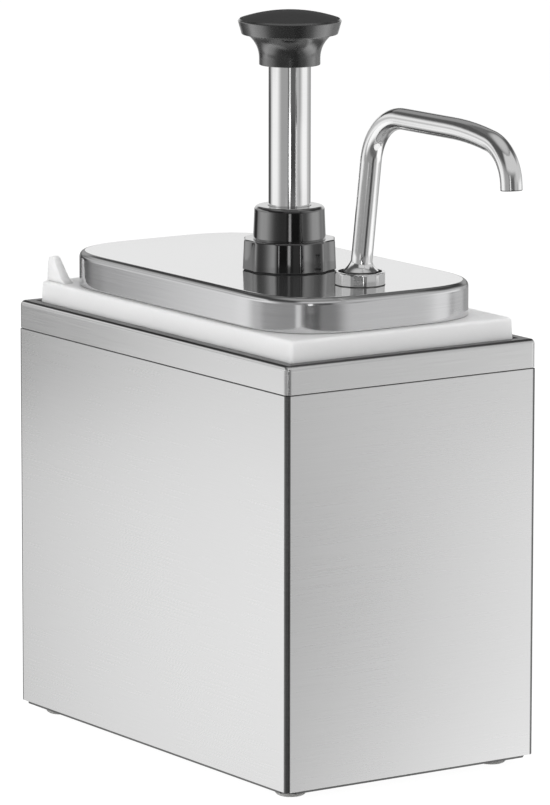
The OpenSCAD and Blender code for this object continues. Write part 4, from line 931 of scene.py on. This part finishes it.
def tent_level(degrees, z):
    """Brightness of the ring in one direction and at one height."""
    level = card_level(degrees, DEEP)
    for row, start, fade in ((FACE, -0.16, 0.08), (LOW, 0.062, 0.02), (HIGH, 0.148, 0.02)):
        level += (card_level(degrees, row) - level) * smooth((z - start) / fade)
    level += ((card_level(degrees, BLACK) - level)
              * smooth((z - 0.172) / 0.008) * smooth((0.214 - z) / 0.008))
    behind = smooth((48 - abs(abs(degrees) - 180)) / 18)
    left, right = window(degrees, -147, -70), window(degrees, 40, 130)
    ahead = window(degrees, -32, 100)
    dim_start = 0.34 + 0.2 * left + 0.12 * right + 0.06 * behind
    dark_start = 0.42 + 0.12 * max(left, right)
    # What the lid's plate and bend and the spout's arm mirror: (level, where, from z, fade)
    for value, where, start, fade in (
            (0.93, behind, 0.25, 0.04), (0.56, left, 0.22, 0.08), (0.84, left, 0.34, 0.08),
            (0.44, left, 0.48, 0.1), (0.6, right, 0.24, 0.1), (0.25, 1 - left, dim_start, 0.1),
            (0.09, 1, dark_start, 0.12), (0.62, ahead, 0.4, 0.1), (0.3, behind, 0.62, 0.04)):
        level += (value - level) * where * smooth((z - start) / fade)
    return level


bm = bmesh.new()
tone = bm.verts.layers.float_color.new("tone")
rings = []
for z in TENT_HEIGHTS:
    ring = []
    for k in range(TENT_STEPS):
        degrees = (360 * k / TENT_STEPS + 180) % 360 - 180
        az = CAMERA_AZ + math.radians(degrees)
        v = bm.verts.new((TENT_R * math.sin(az), -TENT_R * math.cos(az), z))
        v[tone] = (*grey(tent_level(degrees, z)), 1)
        ring.append(v)
    rings.append(ring)
skin_rings(bm, rings)
mesh = bpy.data.meshes.new("card_ring")
bm.to_mesh(mesh)
bm.free()
card_mat = bpy.data.materials.new("card_light")
tree, out = bare_tree(card_mat, "ShaderNodeOutputMaterial")
attribute = tree.nodes.new("ShaderNodeAttribute")
attribute.attribute_name = "tone"
glow = emission(tree)
tree.links.new(attribute.outputs["Color"], glow.inputs["Color"])
tree.links.new(glow.outputs["Emission"], out.inputs["Surface"])
mesh.materials.append(card_mat)
cards = add_object("card_ring", mesh)
cards.visible_camera = False
cards.visible_diffuse = False
cards.visible_transmission = False
cards.visible_shadow = False

# World: white to the camera, a darker ceiling in reflections, an even level for diffuse light
DIFFUSE_LEVEL = 0.3
CEILING = ((0.0, 1.0), (0.3, 1.0), (0.5, 0.16), (0.78, 0.14), (0.92, 0.5), (1.0, 0.55))
world = bpy.data.worlds.new("studio")
bpy.context.scene.world = world
tree, out = bare_tree(world, "ShaderNodeOutputWorld")


def background(level):
    """A grey background for the world's tree."""
    node = tree.nodes.new("ShaderNodeBackground")
    node.inputs["Color"].default_value = (*grey(level), 1)
    return node


ceiling = background(1.0)
split = tree.nodes.new("ShaderNodeSeparateXYZ")
tree.links.new(tree.nodes.new("ShaderNodeTexCoord").outputs["Generated"], split.inputs["Vector"])
ramp = tree.nodes.new("ShaderNodeValToRGB")
stops = ramp.color_ramp.elements
stops[0].color, stops[1].color = (*grey(CEILING[0][1]), 1), (*grey(CEILING[-1][1]), 1)
for position, level in CEILING[1:-1]:
    stops.new(position).color = (*grey(level), 1)
tree.links.new(split.outputs["Z"], ramp.inputs["Fac"])
tree.links.new(ramp.outputs["Color"], ceiling.inputs["Color"])
light_path = tree.nodes.new("ShaderNodeLightPath")
in_gloss = tree.nodes.new("ShaderNodeMixShader")
tree.links.new(light_path.outputs["Is Glossy Ray"], in_gloss.inputs["Fac"])
tree.links.new(background(DIFFUSE_LEVEL).outputs["Background"], in_gloss.inputs[1])
tree.links.new(ceiling.outputs["Background"], in_gloss.inputs[2])
to_camera = tree.nodes.new("ShaderNodeMixShader")
tree.links.new(light_path.outputs["Is Camera Ray"], to_camera.inputs["Fac"])
tree.links.new(in_gloss.outputs["Shader"], to_camera.inputs[1])
tree.links.new(background(1.0).outputs["Background"], to_camera.inputs[2])
tree.links.new(to_camera.outputs["Shader"], out.inputs["Surface"])


def outward(azimuth, elevation):
    """Unit vector from the object, for an azimuth from the front and an elevation."""
    return Vector((math.sin(azimuth) * math.cos(elevation),
                   -math.cos(azimuth) * math.cos(elevation), math.sin(elevation)))


LAMP_TARGET = Vector((0, 0.03, 0.15))
for name, azimuth, elevation, distance, size, power in (
        ("key", -95, 12, 1.6, 1.2, 15), ("fill", 20, 15, 1.8, 1.4, 12),
        ("top", 100, 75, 1.7, 1.4, 11)):
    light = bpy.data.lights.new(name, "AREA")
    light.size = size
    light.energy = power
    lamp = add_object(name, light)
    away = outward(math.radians(azimuth), math.radians(elevation))
    lamp.location = LAMP_TARGET + away * distance
    lamp.rotation_euler = away.to_track_quat("Z", "Y").to_euler()
    lamp.visible_glossy = False

# Camera, as fitted to the photograph

CAMERA_EL, CAMERA_ROLL, CAMERA_DISTANCE = math.radians(10.08), math.radians(0.066), 2.624
CAMERA_TARGET = Vector((0.00137, 0.037891, 0.15555))
back = outward(CAMERA_AZ, CAMERA_EL)
level_right = (-back).cross(Vector((0, 0, 1))).normalized()
level_up = level_right.cross(-back)
right = math.cos(CAMERA_ROLL) * level_right + math.sin(CAMERA_ROLL) * level_up
up = -math.sin(CAMERA_ROLL) * level_right + math.cos(CAMERA_ROLL) * level_up
camera_data = bpy.data.cameras.new("camera")
camera_data.sensor_fit = "VERTICAL"
camera_data.sensor_height = 36.0
camera_data.lens = 258.29
camera_data.clip_end = 50
camera = add_object("camera", camera_data)
matrix = Matrix((right, up, back)).transposed().to_4x4()
matrix.translation = CAMERA_TARGET + back * CAMERA_DISTANCE
camera.matrix_world = matrix
bpy.context.scene.camera = camera
bpy.context.scene.view_settings.view_transform = "Standard"
